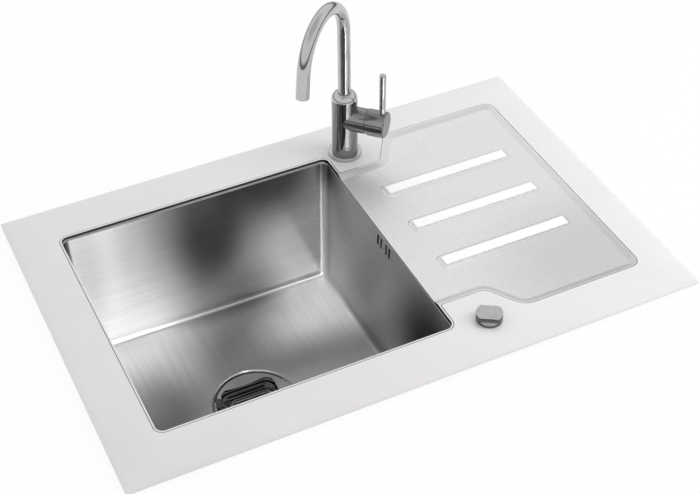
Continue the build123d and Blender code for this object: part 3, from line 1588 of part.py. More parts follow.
ring_radius = spout_socket_radius - running_clearance - o_ring_section
with BuildPart() as spout_sleeve:
    with BuildSketch(tap_level(sleeve_bottom)):
        Circle(sleeve_radius)
        Circle(spout_radius, mode=Mode.SUBTRACT)
    extrude(amount=sleeve_top - sleeve_bottom)
    for ring_height in o_ring_heights:
        with BuildSketch(tap_level(sleeve_bottom + ring_height - o_ring_section)):
            Circle(spout_socket_radius)
            Circle(ring_radius - o_ring_section, mode=Mode.SUBTRACT)
        extrude(amount=2 * o_ring_section, mode=Mode.SUBTRACT)
spout_sleeve.part.label = "spout_sleeve"
export_step(spout_sleeve.part, "parts/spout_sleeve.step")

with BuildPart() as spout_o_rings:
    with BuildSketch(tap_side):
        with Locations(*[(ring_radius, sleeve_bottom + ring_height) for ring_height in o_ring_heights]):
            Circle(o_ring_section)
    revolve(axis=tap_axis)
spout_o_rings.part.label = "spout_o_rings"
export_step(spout_o_rings.part, "parts/spout_o_rings.step")

with BuildPart() as spout_bushing:
    with BuildSketch(tap_level(tap_body_top)):
        Circle(spout_socket_radius)
        Circle(sleeve_radius + running_clearance, mode=Mode.SUBTRACT)
    extrude(amount=-bushing_height)
spout_bushing.part.label = "spout_bushing"
export_step(spout_bushing.part, "parts/spout_bushing.step")

with BuildPart() as aerator_housing:
    with BuildSketch(tip_level(0)):
        Circle(spout_radius)
        Circle(spout_radius - aerator_wall, mode=Mode.SUBTRACT)
    extrude(amount=aerator_length)
aerator_housing.part.label = "aerator_housing"
export_step(aerator_housing.part, "parts/aerator_housing.step")

with BuildPart() as aerator_insert:
    with BuildSketch(tip_level(aerator_recess)):
        Circle(spout_radius - aerator_wall)
        with HexLocations(aerator_hole_pitch, aerator_hole_rows, aerator_hole_rows, major_radius=False):
            Circle(aerator_hole_radius, mode=Mode.SUBTRACT)
    extrude(amount=aerator_length - 2 * aerator_recess)
aerator_insert.part.label = "aerator_insert"
export_step(aerator_insert.part, "parts/aerator_insert.step")

# Mixer cartridge in the hub, its nut and the dome that covers them
with BuildPart() as cartridge_body:
    with BuildSketch(hub_level(cartridge_start)):
        Circle(cartridge_radius)
    extrude(amount=cartridge_length)
    with BuildSketch(hub_level(cartridge_start + cartridge_length)):
        Circle(cartridge_neck_radius)
    extrude(amount=cartridge_neck_length)
    with BuildSketch(hub_level(cartridge_start + cartridge_length + cartridge_neck_length)):
        Circle(rotor_radius + running_clearance)
    extrude(amount=-cartridge_bore_depth, mode=Mode.SUBTRACT)
cartridge_body.part.label = "cartridge_body"
export_step(cartridge_body.part, "parts/cartridge_body.step")

with BuildPart() as cartridge_nut:
    with BuildSketch(hub_level(cartridge_start + cartridge_length)):
        Circle(nut_thread_radius)
        Circle(cartridge_neck_radius + thread_clearance, mode=Mode.SUBTRACT)
    extrude(amount=nut_thickness)
cartridge_nut.part.label = "cartridge_nut"
export_step(cartridge_nut.part, "parts/cartridge_nut.step")

with BuildPart() as dome_cover:
    with BuildSketch(tap_side):
        with Locations((lever_pivot, hub_height)):
            Circle(dome_radius)
            Circle(dome_radius - dome_wall, mode=Mode.SUBTRACT)
            with Locations((0, -dome_radius)):
                Rectangle(4 * dome_radius, 2 * dome_radius, mode=Mode.SUBTRACT)
    revolve(axis=hub_axis)
    split(bisect_by=hub_level(hub_reach), keep=Keep.TOP)
    with BuildSketch(hub_level(lever_pivot)):
        Circle(dome_mouth_radius)
    extrude(amount=dome_radius, mode=Mode.SUBTRACT)
dome_cover.part.label = "dome_cover"
export_step(dome_cover.part, "parts/dome_cover.step")

# Rotor turns in the cartridge; the spindle tips in its slot, on the cross pin
rotor_end = lever_pivot + rotor_reach
cross_plane = Plane(origin=hub_origin + hub_direction * lever_pivot, x_dir=hub_direction, z_dir=-hub_across)
with BuildPart() as cartridge_rotor:
    with BuildSketch(hub_level(rotor_end)):
        Circle(rotor_radius)
    extrude(amount=-rotor_length)
    with BuildSketch(hub_level(rotor_end)):
        Rectangle(2 * (mixer_spindle_radius + running_clearance), 3 * rotor_radius)
    extrude(amount=-rotor_slot_depth, mode=Mode.SUBTRACT)
    with BuildSketch(cross_plane):
        Circle(mixer_pin_radius)
    extrude(amount=rotor_radius, both=True, mode=Mode.SUBTRACT)
cartridge_rotor.part.label = "cartridge_rotor"
export_step(cartridge_rotor.part, "parts/cartridge_rotor.step")

with BuildPart() as cross_pin:
    with BuildSketch(cross_plane.offset(mixer_pin_setback - rotor_radius)):
        Circle(mixer_pin_radius)
    extrude(amount=2 * (rotor_radius - mixer_pin_setback))
cross_pin.part.label = "cross_pin"
export_step(cross_pin.part, "parts/cross_pin.step")

with BuildPart() as mixer_spindle:
    with BuildSketch(hub_level(lever_pivot - mixer_spindle_tail)):
        Circle(mixer_spindle_radius)
    extrude(amount=cap_end - cap_end_wall + cap_hole_depth - lever_pivot + mixer_spindle_tail)
    with BuildSketch(cross_plane):
        Circle(mixer_pin_radius + running_clearance)
    extrude(amount=mixer_spindle_radius, both=True, mode=Mode.SUBTRACT)
mixer_spindle.part.label = "mixer_spindle"
export_step(mixer_spindle.part, "parts/mixer_spindle.step")

# Cap of the lever, relieved below so that it can tip towards the column
cap_start = hub_reach + cap_gap
with BuildPart() as lever_cap:
    with BuildSketch(hub_level(cap_start)):
        Circle(cap_radius)
    extrude(amount=cap_end - cap_start)
    chamfer(lever_cap.faces().sort_by(hub_axis)[-1].edges(), length=cap_chamfer)
    with BuildSketch(hub_level(cap_start)):
        Circle(cap_bore_radius)
    extrude(amount=cap_end - cap_end_wall - cap_start, mode=Mode.SUBTRACT)
    with BuildSketch(hub_level(cap_end - cap_end_wall)):
        Circle(mixer_spindle_radius)
    extrude(amount=cap_hole_depth, mode=Mode.SUBTRACT)
    with BuildSketch(cross_plane):
        Polygon(
            (0, 0),
            (-cap_radius, 0),
            (-cap_radius, -cap_radius),
            (cap_radius * tan(radians(lever_tilt_angle + cap_relief_margin)), -cap_radius),
            align=None,
        )
    extrude(amount=2 * cap_radius, both=True, mode=Mode.SUBTRACT)
    with BuildSketch(tap_level(hub_height + cap_radius)):
        with Locations((lever_reach, 0)):
            Circle(lever_foot_radius)
    extrude(amount=-lever_foot_depth, mode=Mode.SUBTRACT)
    with BuildSketch(tap_level(hub_height - cap_radius)):
        with Locations((lever_reach - grub_shift, 0)):
            Circle(grub_radius)
    extrude(amount=cap_radius, mode=Mode.SUBTRACT)
lever_cap.part.label = "lever_cap"
export_step(lever_cap.part, "parts/lever_cap.step")

lever_foot = hub_height + cap_radius - lever_foot_depth
with BuildPart() as lever_pin:
    with BuildSketch(tap_level(lever_foot)):
        with Locations((lever_reach, 0)):
            Circle(lever_foot_radius)
    extrude(amount=lever_foot_depth)
    with BuildSketch(tap_level(hub_height + cap_radius)):
        with Locations((lever_reach, 0)):
            Circle(lever_foot_radius)
    with BuildSketch(tap_level(lever_top)):
        with Locations((lever_reach, 0)):
            Circle(lever_top_radius)
    loft()
    fillet(lever_pin.faces().sort_by(Axis.Z)[-1].edges(), radius=lever_top_round)
lever_pin.part.label = "lever_pin"
export_step(lever_pin.part, "parts/lever_pin.step")

with BuildPart() as lever_grub_screw:
    with BuildSketch(tap_level(hub_height - mixer_spindle_radius - running_clearance)):
        with Locations((lever_reach - grub_shift, 0)):
            Circle(grub_radius)
    extrude(amount=-grub_length)
    with BuildSketch(tap_level(hub_height - mixer_spindle_radius - running_clearance - grub_length)):
        with Locations((lever_reach - grub_shift, 0)):
            RegularPolygon(grub_socket_radius, 6)
    extrude(amount=grub_radius, mode=Mode.SUBTRACT)
lever_grub_screw.part.label = "lever_grub_screw"
export_step(lever_grub_screw.part, "parts/lever_grub_screw.step")
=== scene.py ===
"""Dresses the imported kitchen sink: white glass rim, brushed steel bowl and drainer, chrome tap.

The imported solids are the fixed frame. This script gives them their finishes, adds the pieces
whose looks need a finer mesh, and sets the camera, the light and the floor.
"""

import logging
import math
from dataclasses import dataclass, field
from enum import Enum

import bmesh
import bpy
from mathutils import Matrix, Vector

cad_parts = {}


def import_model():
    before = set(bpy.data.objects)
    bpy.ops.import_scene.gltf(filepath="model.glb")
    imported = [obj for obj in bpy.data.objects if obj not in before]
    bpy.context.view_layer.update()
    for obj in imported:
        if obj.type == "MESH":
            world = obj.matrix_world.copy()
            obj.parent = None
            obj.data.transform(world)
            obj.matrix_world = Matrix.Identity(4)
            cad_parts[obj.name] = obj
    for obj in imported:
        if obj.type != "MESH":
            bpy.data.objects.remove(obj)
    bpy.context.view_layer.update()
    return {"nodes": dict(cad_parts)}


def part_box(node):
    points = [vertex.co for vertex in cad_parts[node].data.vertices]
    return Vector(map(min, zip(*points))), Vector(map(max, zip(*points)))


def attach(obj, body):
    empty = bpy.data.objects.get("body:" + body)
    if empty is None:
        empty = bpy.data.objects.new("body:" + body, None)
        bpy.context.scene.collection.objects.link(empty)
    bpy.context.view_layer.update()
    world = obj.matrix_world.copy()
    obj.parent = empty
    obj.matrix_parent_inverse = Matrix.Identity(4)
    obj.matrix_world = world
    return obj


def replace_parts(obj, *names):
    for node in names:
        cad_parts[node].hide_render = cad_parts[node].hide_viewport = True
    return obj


LOG = logging.getLogger("kitchen_sink")
MILLIMETRE = 0.001
PHOTO_WIDTH = 700
SENSOR_WIDTH = 36.0

Colour = tuple[float, float, float, float]
WHITE: Colour = (1.0, 1.0, 1.0, 1.0)

# How far up a face looks, as the Z of its normal, where a finish changes or fades
LEVEL_FROM = 0.707
GLASS_EDGE_FADE = (0.35, 0.9)
FLANK_FADE = (0.1, 0.5)
SLOPE_FADE = (0.96, 0.998)
PLATE_SIDE_FADE = (0.5, 0.97)

# Profile of a screw thread in shares of its pitch, and the depth of its foot in millimetres
THREAD_HEIGHT = 0.12
THREAD_FOOT = (0.12, 0.88)
THREAD_CREST = (0.4, 0.6)
THREAD_SUNK = 0.02


class Axis(Enum):
    """Direction of a brushed or turned grain, as a unit vector."""

    X = (1.0, 0.0, 0.0)
    Y = (0.0, 1.0, 0.0)
    Z = (0.0, 0.0, 1.0)


class PatchShape(Enum):
    """Outline of a soft patch on a surface."""

    ROUND = "round"
    SQUARE = "square"


def linear(hex_colour: str) -> Colour:
    """Turns an sRGB hex colour into Blender's linear colour.

    Args:
        hex_colour: Six hex digits, red first.

    Returns:
        Linear red, green and blue, and an alpha of 1.
    """
    parts = [int(hex_colour[place : place + 2], 16) / 255 for place in (0, 2, 4)]
    red, green, blue = (
        part / 12.92 if part <= 0.04045 else ((part + 0.055) / 1.055) ** 2.4 for part in parts
    )
    return (red, green, blue, 1.0)


def add_node(
    tree: bpy.types.NodeTree,
    kind: str,
    settings: dict | None = None,
    links: dict | None = None,
) -> bpy.types.Node:
    """Adds a node with its settings and the links that feed it.

    Args:
        tree: Node tree of a material or of the world.
        kind: Blender's name for the node type.
        settings: Values by property name, or by the name or number of an input. The key
            "stops" holds the places and colours of a colour ramp.
        links: Output sockets by the name or number of the input that they feed.

    Returns:
        The new node.
    """
    node = tree.nodes.new(kind)
    for key, value in (settings or {}).items():
        if key == "stops":
            elements = node.color_ramp.elements
            elements[0].position, elements[0].color = value[0]
            elements[-1].position, elements[-1].color = value[-1]
            for place, colour in value[1:-1]:
                elements.new(place).color = colour
        elif isinstance(key, str) and hasattr(node, key):
            setattr(node, key, value)
        else:
            node.inputs[key].default_value = value
    for key, socket in (links or {}).items():
        tree.links.new(socket, node.inputs[key])
    return node


def combine(
    tree: bpy.types.NodeTree,
    operation: str,
    first: bpy.types.NodeSocket,
    second: bpy.types.NodeSocket,
) -> bpy.types.NodeSocket:
    """Combines two values by one operation of a Math node.

    Args:
        tree: Node tree of a material or of the world.
        operation: Blender's name for the operation.
        first: Socket of the first value.
        second: Socket of the second value.

    Returns:
        Socket with the result.
    """
    return add_node(
        tree, "ShaderNodeMath", {"operation": operation}, {0: first, 1: second}
    ).outputs[0]


def seen_rays(tree: bpy.types.NodeTree, path: bpy.types.Node) -> bpy.types.NodeSocket:
    """Picks the rays that bring a sight to the eye: direct, through glass and by reflection.

    Args:
        tree: Node tree of a material or of the world.
        path: Its Light Path node.

    Returns:
        Socket that is 1 for those rays and 0 for the rays that only carry light.
    """
    direct = combine(
        tree, "MAXIMUM", path.outputs["Is Camera Ray"], path.outputs["Is Transmission Ray"]
    )
    return combine(tree, "MAXIMUM", direct, path.outputs["Is Glossy Ray"])


@dataclass(frozen=True)
class Finish:
    """A surface finish that makes one procedural material.

    Attributes:
        name: Name of the material.
        slot: Material slot of the record that the finish belongs to. Not used by this script.
    """

    name: str
    slot: str

    def material(self) -> bpy.types.Material:
        """Makes the material, with a Principled shader dressed by the finish.

        Returns:
            The new material.
        """
        made = bpy.data.materials.new(self.name)
        made.use_nodes = True
        tree = made.node_tree
        tree.nodes.clear()
        shader = add_node(tree, "ShaderNodeBsdfPrincipled")
        add_node(tree, "ShaderNodeOutputMaterial", links={"Surface": shader.outputs["BSDF"]})
        self.dress(tree, shader)
        return made

    def dress(self, tree: bpy.types.NodeTree, shader: bpy.types.Node) -> None:
        """Sets the shader up. Each finish has its own way.

        Args:
            tree: Node tree of the material.
            shader: Its Principled shader.
        """
        raise NotImplementedError


@dataclass(frozen=True)
class EnamelledGlass(Finish):
    """Toughened float glass with white ceramic enamel fired on its back.

    The eye sees an even soft white under a clear gloss that is a little wavy from the
    furnace rollers, and a cooler tint in the cut edge.

    Attributes:
        face: Colour of the enamel seen through the glass.
        drift: Colour of the enamel where its coat is a little thinner.
        edge: Colour of the cut and polished edge.
        wave_size: Pitch of the roller waves, in millimetres.
    """

    face: str
    drift: str
    edge: str
    wave_size: float = 220.0

    def dress(self, tree: bpy.types.NodeTree, shader: bpy.types.Node) -> None:
        """Layers gloss over the enamel, with faint drift and roller waves.

        Args:
            tree: Node tree of the material.
            shader: Its Principled shader.
        """
        place = add_node(tree, "ShaderNodeTexCoord")
        drift = add_node(
            tree,
            "ShaderNodeTexNoise",
            {"Scale": 1 / (0.35 * self.wave_size * MILLIMETRE), "Detail": 3.0, "Roughness": 0.55},
            {"Vector": place.outputs["Object"]},
        )
        enamel = add_node(
            tree,
            "ShaderNodeValToRGB",
            {"stops": [(0.35, linear(self.drift)), (0.65, linear(self.face))]},
            {"Fac": drift.outputs[0]},
        )
        facing = add_node(
            tree, "ShaderNodeSeparateXYZ", links={"Vector": place.outputs["Normal"]}
        )
        upright = add_node(
            tree,
            "ShaderNodeMapRange",
            {1: GLASS_EDGE_FADE[0], 2: GLASS_EDGE_FADE[1], 3: 0.0, 4: 1.0},
            {"Value": facing.outputs["Z"]},
        )
        colour = add_node(
            tree,
            "ShaderNodeMix",
            {"data_type": "RGBA", 6: linear(self.edge)},
            {0: upright.outputs[0], 7: enamel.outputs["Color"]},
        )
        waves = add_node(
            tree,
            "ShaderNodeTexNoise",
            {"Scale": 1 / (self.wave_size * MILLIMETRE), "Detail": 0.0},
            {"Vector": place.outputs["Object"]},
        )
        bump = add_node(
            tree,
            "ShaderNodeBump",
            {"Strength": 0.04, "Distance": 2 * MILLIMETRE},
            {"Height": waves.outputs[0]},
        )
        shader.inputs["Roughness"].default_value = 0.35
        shader.inputs["IOR"].default_value = 1.52
        shader.inputs["Coat Weight"].default_value = 1.0
        shader.inputs["Coat Roughness"].default_value = 0.04
        shader.inputs["Coat IOR"].default_value = 1.52
        tree.links.new(colour.outputs[2], shader.inputs["Base Color"])
        tree.links.new(bump.outputs["Normal"], shader.inputs["Coat Normal"])


@dataclass(frozen=True)
class PaintedShadePatch:
    """A soft patch of painted shade on the steel: a painted reflection of what the sheet mirrors
    there, or painted shadow.

    It is painted on, so it stays where it is when the light or the view changes.

    Attributes:
        centre: Middle of the patch, in millimetres.
        reach: Half its length along X, Y and Z, in millimetres.
        tone: How bright the patch is against the rest, 1 being the same.
        plateau: Share of the reach over which the tone is full, before it fades.
        shape: Outline of the patch.
    """

    centre: tuple[float, float, float]
    reach: tuple[float, float, float]
    tone: float
    plateau: float = 0.2
    shape: PatchShape = PatchShape.ROUND

    def shade(
        self, tree: bpy.types.NodeTree, place: bpy.types.Node, below: bpy.types.NodeSocket
    ) -> bpy.types.NodeSocket:
        """Lays the patch over the tone so far.

        Args:
            tree: Node tree of the material.
            place: Its Texture Coordinate node.
            below: Tone so far.

        Returns:
            Socket with the new tone.
        """
        moved = add_node(
            tree,
            "ShaderNodeMapping",
            {
                "vector_type": "TEXTURE",
                "Scale": [part * MILLIMETRE for part in self.reach],
                "Location": [part * MILLIMETRE for part in self.centre],
            },
            {"Vector": place.outputs["Object"]},
        )
        patch = add_node(
            tree,
            "ShaderNodeMapRange",
            {"interpolation_type": "SMOOTHSTEP", 1: self.plateau, 2: 1.0, 3: self.tone, 4: 1.0},
            {0: self.distance(tree, moved.outputs["Vector"])},
        )
        return combine(tree, "MULTIPLY", below, patch.outputs[0])

    def distance(
        self, tree: bpy.types.NodeTree, moved: bpy.types.NodeSocket
    ) -> bpy.types.NodeSocket:
        """Measures how far a point is from the middle of the patch.

        Args:
            tree: Node tree of the material.
            moved: Point, with the patch's middle at 0 and its ends at 1.

        Returns:
            Socket with the distance, 1 being the patch's outline.
        """
        if self.shape is PatchShape.ROUND:
            length = add_node(tree, "ShaderNodeVectorMath", {"operation": "LENGTH"}, {0: moved})
            return length.outputs["Value"]
        sides = add_node(tree, "ShaderNodeVectorMath", {"operation": "ABSOLUTE"}, {0: moved})
        parts = add_node(tree, "ShaderNodeSeparateXYZ", links={0: sides.outputs[0]}).outputs
        return combine(tree, "MAXIMUM", combine(tree, "MAXIMUM", parts[0], parts[1]), parts[2])


@dataclass(frozen=True)
class BrushedSteel(Finish):
    """Austenitic stainless sheet, belt-brushed before it is folded and welded.

    The eye sees fine parallel scratches that stretch every highlight across them, with
    slightly longer and darker strokes here and there.

    Attributes:
        light: Colour of the strokes that catch the light.
        dark: Colour of the strokes that don't.
        smooth: Roughness between the strokes.
        rough: Roughness of the deepest strokes.
        spread: How far a highlight is stretched across the grain, 0 to 1.
        stroke_width: Width of one visible stroke, in millimetres. The belt's own scratches
            are some 0.05 mm wide, too fine to show, so they are drawn this coarse.
        stroke_length: Length of one stroke, in millimetres.
        floor_grain: Direction of the strokes on faces that look up.
        side_grain: Direction on faces that look along X.
        end_grain: Direction on faces that look along Y.
        painted_shading: Patches of painted shading: painted reflections of what the steel mirrors,
            and painted shade.
        painted_step_shade: Patches of painted shade that show on the upright sides of steps and
            edges alone.
        painted_slope_shade: Painted shade on pressed slopes: how bright they are against flat faces,
            1 being the same.
        shadows: Patches of painted shadow, which also darken the specular tint so that they don't
            gleam at a low angle either.
    """

    light: str
    dark: str
    smooth: float
    rough: float
    spread: float
    stroke_width: float
    stroke_length: float
    floor_grain: Axis = Axis.Y
    side_grain: Axis = Axis.Y
    end_grain: Axis = Axis.X
    painted_shading: tuple[PaintedShadePatch, ...] = ()
    painted_step_shade: tuple[PaintedShadePatch, ...] = ()
    painted_slope_shade: float = 1.0
    shadows: tuple[PaintedShadePatch, ...] = ()

    def strokes(
        self, tree: bpy.types.NodeTree, place: bpy.types.Node, grain: Axis
    ) -> bpy.types.NodeSocket:
        """Draws the strokes for one grain direction.

        Args:
            tree: Node tree of the material.
            place: Its Texture Coordinate node.
            grain: Direction of the strokes.

        Returns:
            Socket with the height of the strokes, 0 to 1.
        """
        across = 1 / (self.stroke_width * MILLIMETRE)
        along = 1 / (self.stroke_length * MILLIMETRE)
        scale = [along if part else across for part in grain.value]
        stretched = add_node(
            tree, "ShaderNodeMapping", {"Scale": scale}, {"Vector": place.outputs["Object"]}
        )
        lines = add_node(
            tree,
            "ShaderNodeTexNoise",
            {"Scale": 0.5, "Detail": 5.0, "Roughness": 0.68},
            {"Vector": stretched.outputs["Vector"]},
        )
        return lines.outputs[0]

    def dress(self, tree: bpy.types.NodeTree, shader: bpy.types.Node) -> None:
        """Lays the strokes on each wall in its own direction.

        Args:
            tree: Node tree of the material.
            shader: Its Principled shader.
        """
        place = add_node(tree, "ShaderNodeTexCoord")
        facing = add_node(
            tree,
            "ShaderNodeVectorMath",
            {"operation": "ABSOLUTE"},
            {0: place.outputs["Normal"]},
        )
        parts = add_node(tree, "ShaderNodeSeparateXYZ", links={"Vector": facing.outputs[0]})
        looks_up = add_node(
            tree,
            "ShaderNodeMath",
            {"operation": "GREATER_THAN", 1: LEVEL_FROM},
            {0: parts.outputs["Z"]},
        )
        looks_along_x = combine(tree, "GREATER_THAN", parts.outputs["X"], parts.outputs["Y"])
        walls = add_node(
            tree,
            "ShaderNodeMix",
            {},
            {
                0: looks_along_x,
                2: self.strokes(tree, place, self.end_grain),
                3: self.strokes(tree, place, self.side_grain),
            },
        )
        strokes = add_node(
            tree,
            "ShaderNodeMix",
            {},
            {
                0: looks_up.outputs[0],
                2: walls.outputs[0],
                3: self.strokes(tree, place, self.floor_grain),
            },
        )
        colour = add_node(
            tree,
            "ShaderNodeValToRGB",
            {"stops": [(0.3, linear(self.dark)), (0.7, linear(self.light))]},
            {"Fac": strokes.outputs[0]},
        )
        # Painted shade on the upright sides of steps and edges.
        step_shade = add_node(tree, "ShaderNodeValue").outputs[0]
        step_shade.default_value = 1.0
        for patch in self.painted_step_shade:
            step_shade = patch.shade(tree, place, step_shade)
        tone = add_node(
            tree,
            "ShaderNodeMapRange",
            {1: FLANK_FADE[0], 2: FLANK_FADE[1], 4: 1.0},
            {0: parts.outputs["Z"], 3: step_shade},
        ).outputs[0]
        # Painted shade on pressed slopes.
        if self.painted_slope_shade < 1.0:
            slope = add_node(
                tree,
                "ShaderNodeMapRange",
                {1: SLOPE_FADE[0], 2: SLOPE_FADE[1], 3: self.painted_slope_shade, 4: 1.0},
                {0: parts.outputs["Z"]},
            )
            tone = combine(tree, "MULTIPLY", tone, slope.outputs[0])
        # Painted reflections and painted shade darken the tone in patches.
        for painted_patch in self.painted_shading:
            tone = painted_patch.shade(tree, place, tone)
        # Painted shadow, in the colour and in the specular tint.
        if self.shadows:
            shade = add_node(tree, "ShaderNodeValue").outputs[0]
            shade.default_value = 1.0
            for shadow in self.shadows:
                shade = shadow.shade(tree, place, shade)
            tone = combine(tree, "MULTIPLY", tone, shade)
            tree.links.new(shade, shader.inputs["Specular Tint"])
        toned = add_node(
            tree,
            "ShaderNodeVectorMath",
            {"operation": "SCALE"},
            {0: colour.outputs["Color"], 3: tone},
        )
        roughness = add_node(
            tree,
            "ShaderNodeMapRange",
            {"From Min": 0.3, "From Max": 0.7, "To Min": self.rough, "To Max": self.smooth},
            {"Value": strokes.outputs[0]},
        )
        bump = add_node(
            tree,
            "ShaderNodeBump",
            {"Strength": 0.05, "Distance": 0.02 * MILLIMETRE},
            {"Height": strokes.outputs[0]},
        )
        floor_across = Axis.X if self.floor_grain is Axis.Y else Axis.Y
        across = add_node(
            tree,
            "ShaderNodeMix",
            {"data_type": "VECTOR", 4: Axis.Z.value, 5: floor_across.value},
            {0: looks_up.outputs[0]},
        )
        shader.inputs["Metallic"].default_value = 1.0
        shader.inputs["Anisotropic"].default_value = self.spread
        tree.links.new(toned.outputs[0], shader.inputs["Base Color"])
        tree.links.new(roughness.outputs[0], shader.inputs["Roughness"])
        tree.links.new(bump.outputs["Normal"], shader.inputs["Normal"])
        tree.links.new(across.outputs[1], shader.inputs["Tangent"])


@dataclass(frozen=True)
class PlatedMetal(Finish):
    """Metal that is plated, polished or turned, with a light mottle of handling.

    The eye sees clean reflections that soften where fingers and water have left a film.

    Attributes:
        colour: Colour of the clean metal.
        film: Colour under the faint film.
        smooth: Roughness of the clean metal.
        rough: Roughness under the film.
        film_size: Size of the film's patches, in millimetres.
        relief: Height of the surface's ripple, in millimetres.
        painted_side_shade: Painted shade on upright faces: how bright they are against the top, 1
            being the same.
    """

    colour: str
    film: str
    smooth: float
    rough: float
    film_size: float = 14.0
    relief: float = 0.01
    painted_side_shade: float = 1.0

    def dress(self, tree: bpy.types.NodeTree, shader: bpy.types.Node) -> None:
        """Mottles the metal's roughness and colour.

        Args:
            tree: Node tree of the material.
            shader: Its Principled shader.
        """
        place = add_node(tree, "ShaderNodeTexCoord")
        film = add_node(
            tree,
            "ShaderNodeTexNoise",
            {"Scale": 1 / (self.film_size * MILLIMETRE), "Detail": 6.0, "Roughness": 0.6},
            {"Vector": place.outputs["Object"]},
        )
        colour = add_node(
            tree,
            "ShaderNodeValToRGB",
            {"stops": [(0.4, linear(self.colour)), (0.72, linear(self.film))]},
            {"Fac": film.outputs[0]},
        )
        facing = add_node(
            tree, "ShaderNodeSeparateXYZ", links={"Vector": place.outputs["Normal"]}
        )
        # Painted shade on upright faces.
        side = add_node(
            tree,
            "ShaderNodeMapRange",
            {
                "interpolation_type": "SMOOTHSTEP",
                1: PLATE_SIDE_FADE[0],
                2: PLATE_SIDE_FADE[1],
                3: self.painted_side_shade,
                4: 1.0,
            },
            {0: facing.outputs["Z"]},
        )
        toned = add_node(
            tree,
            "ShaderNodeVectorMath",
            {"operation": "SCALE"},
            {0: colour.outputs["Color"], 3: side.outputs[0]},
        )
        roughness = add_node(
            tree,
            "ShaderNodeMapRange",
            {"From Min": 0.4, "From Max": 0.72, "To Min": self.smooth, "To Max": self.rough},
            {"Value": film.outputs[0]},
        )
        bump = add_node(
            tree,
            "ShaderNodeBump",
            {"Strength": 0.1, "Distance": self.relief * MILLIMETRE},
            {"Height": film.outputs[0]},
        )
        shader.inputs["Metallic"].default_value = 1.0
        tree.links.new(toned.outputs[0], shader.inputs["Base Color"])
        tree.links.new(roughness.outputs[0], shader.inputs["Roughness"])
        tree.links.new(bump.outputs["Normal"], shader.inputs["Normal"])


@dataclass(frozen=True)
class SoftMatter(Finish):
    """Moulded plastic, rubber, foam, bitumen or adhesive.

    The eye sees a dull body colour with fine grain from the mould, pores or filler.

    Attributes:
        colour: Colour of the body.
        shade: Colour in the grain's hollows.
        roughness: Roughness of the skin.
        grain_size: Size of the grain, in millimetres.
        relief: Depth of the grain, in millimetres.
        index: Index of refraction.
    """

    colour: str
    shade: str
    roughness: float
    grain_size: float
    relief: float
    index: float = 1.49

    def dress(self, tree: bpy.types.NodeTree, shader: bpy.types.Node) -> None:
        """Grains the skin's colour and height.

        Args:
            tree: Node tree of the material.
            shader: Its Principled shader.
        """
        place = add_node(tree, "ShaderNodeTexCoord")
        grain = add_node(
            tree,
            "ShaderNodeTexNoise",
            {"Scale": 1 / (self.grain_size * MILLIMETRE), "Detail": 4.0, "Roughness": 0.6},
            {"Vector": place.outputs["Object"]},
        )
        colour = add_node(
            tree,
            "ShaderNodeValToRGB",
            {"stops": [(0.35, linear(self.shade)), (0.6, linear(self.colour))]},
            {"Fac": grain.outputs[0]},
        )
        bump = add_node(
            tree,
            "ShaderNodeBump",
            {"Strength": 0.5, "Distance": self.relief * MILLIMETRE},
            {"Height": grain.outputs[0]},
        )
        shader.inputs["Roughness"].default_value = self.roughness
        shader.inputs["IOR"].default_value = self.index
        tree.links.new(colour.outputs["Color"], shader.inputs["Base Color"])
        tree.links.new(bump.outputs["Normal"], shader.inputs["Normal"])


# Rim: even warm white under a clear gloss, a little cooler at its ground edge.
WHITE_GLASS = EnamelledGlass("enamelled_glass_white", "white_glass", "E9E7E5", "E6E4E2", "F0F1F0")
# Strips on the ribs: a purer white than the rim's, which shows them against it.
STRIP_GLASS = EnamelledGlass(
    "enamelled_glass_strip", "strip_glass", "FEFEFE", "FBFBFB", "F0F2F1", wave_size=60.0
)
# Painted reflections: dark and half-dark shapes that the bowl mirrors, painted on its walls, in its
# corners and on its floor.
BOWL_PAINTED_REFLECTIONS = (
    PaintedShadePatch((-116.0, 192.0, -25.0), (118.0, 54.0, 400.0), 0.17),
    PaintedShadePatch((-15.0, 192.0, 8.0), (118.0, 50.0, 120.0), 0.17),
    PaintedShadePatch((-215.0, 192.0, -45.0), (78.0, 40.0, 165.0), 0.66),
    PaintedShadePatch((-300.0, 192.0, -60.0), (42.0, 40.0, 150.0), 0.72),
    PaintedShadePatch((-125.0, 192.0, -78.0), (70.0, 40.0, 90.0), 0.5),
    PaintedShadePatch((-60.0, 192.0, -192.0), (76.0, 40.0, 76.0), 0.5),
    PaintedShadePatch((-130.0, -183.0, -80.0), (420.0, 30.0, 320.0), 0.45),
    PaintedShadePatch((62.5, 10.0, -100.0), (17.0, 420.0, 300.0), 0.66),
    PaintedShadePatch((62.5, -145.0, -95.0), (22.0, 155.0, 195.0), 0.05),
    PaintedShadePatch((62.5, 180.0, 5.0), (20.0, 60.0, 60.0), 0.35),
    PaintedShadePatch((-327.0, 185.0, -10.0), (14.0, 120.0, 110.0), 0.08),
    PaintedShadePatch((-265.0, 25.0, -205.0), (90.0, 125.0, 40.0), 0.45),
    PaintedShadePatch((-120.0, -60.0, -205.0), (420.0, 155.0, 40.0), 0.5),
)
# Painted shadow round each slot of the overflow, which makes the slot look wider than it is cut in
# the solid.
SLOT_MIDDLE = (66.0, 5.5, -12.7)
SLOT_OFFSETS = (-16.4, -7.0, 7.0, 16.4)
SLOT_REACH = (2.4, 2.5, 9.3)
SLOT_SHADOWS = tuple(
    PaintedShadePatch(
        (SLOT_MIDDLE[0], SLOT_MIDDLE[1] + offset, SLOT_MIDDLE[2]),
        SLOT_REACH,
        0.02,
        0.85,
        PatchShape.SQUARE,
    )
    for offset in SLOT_OFFSETS
)
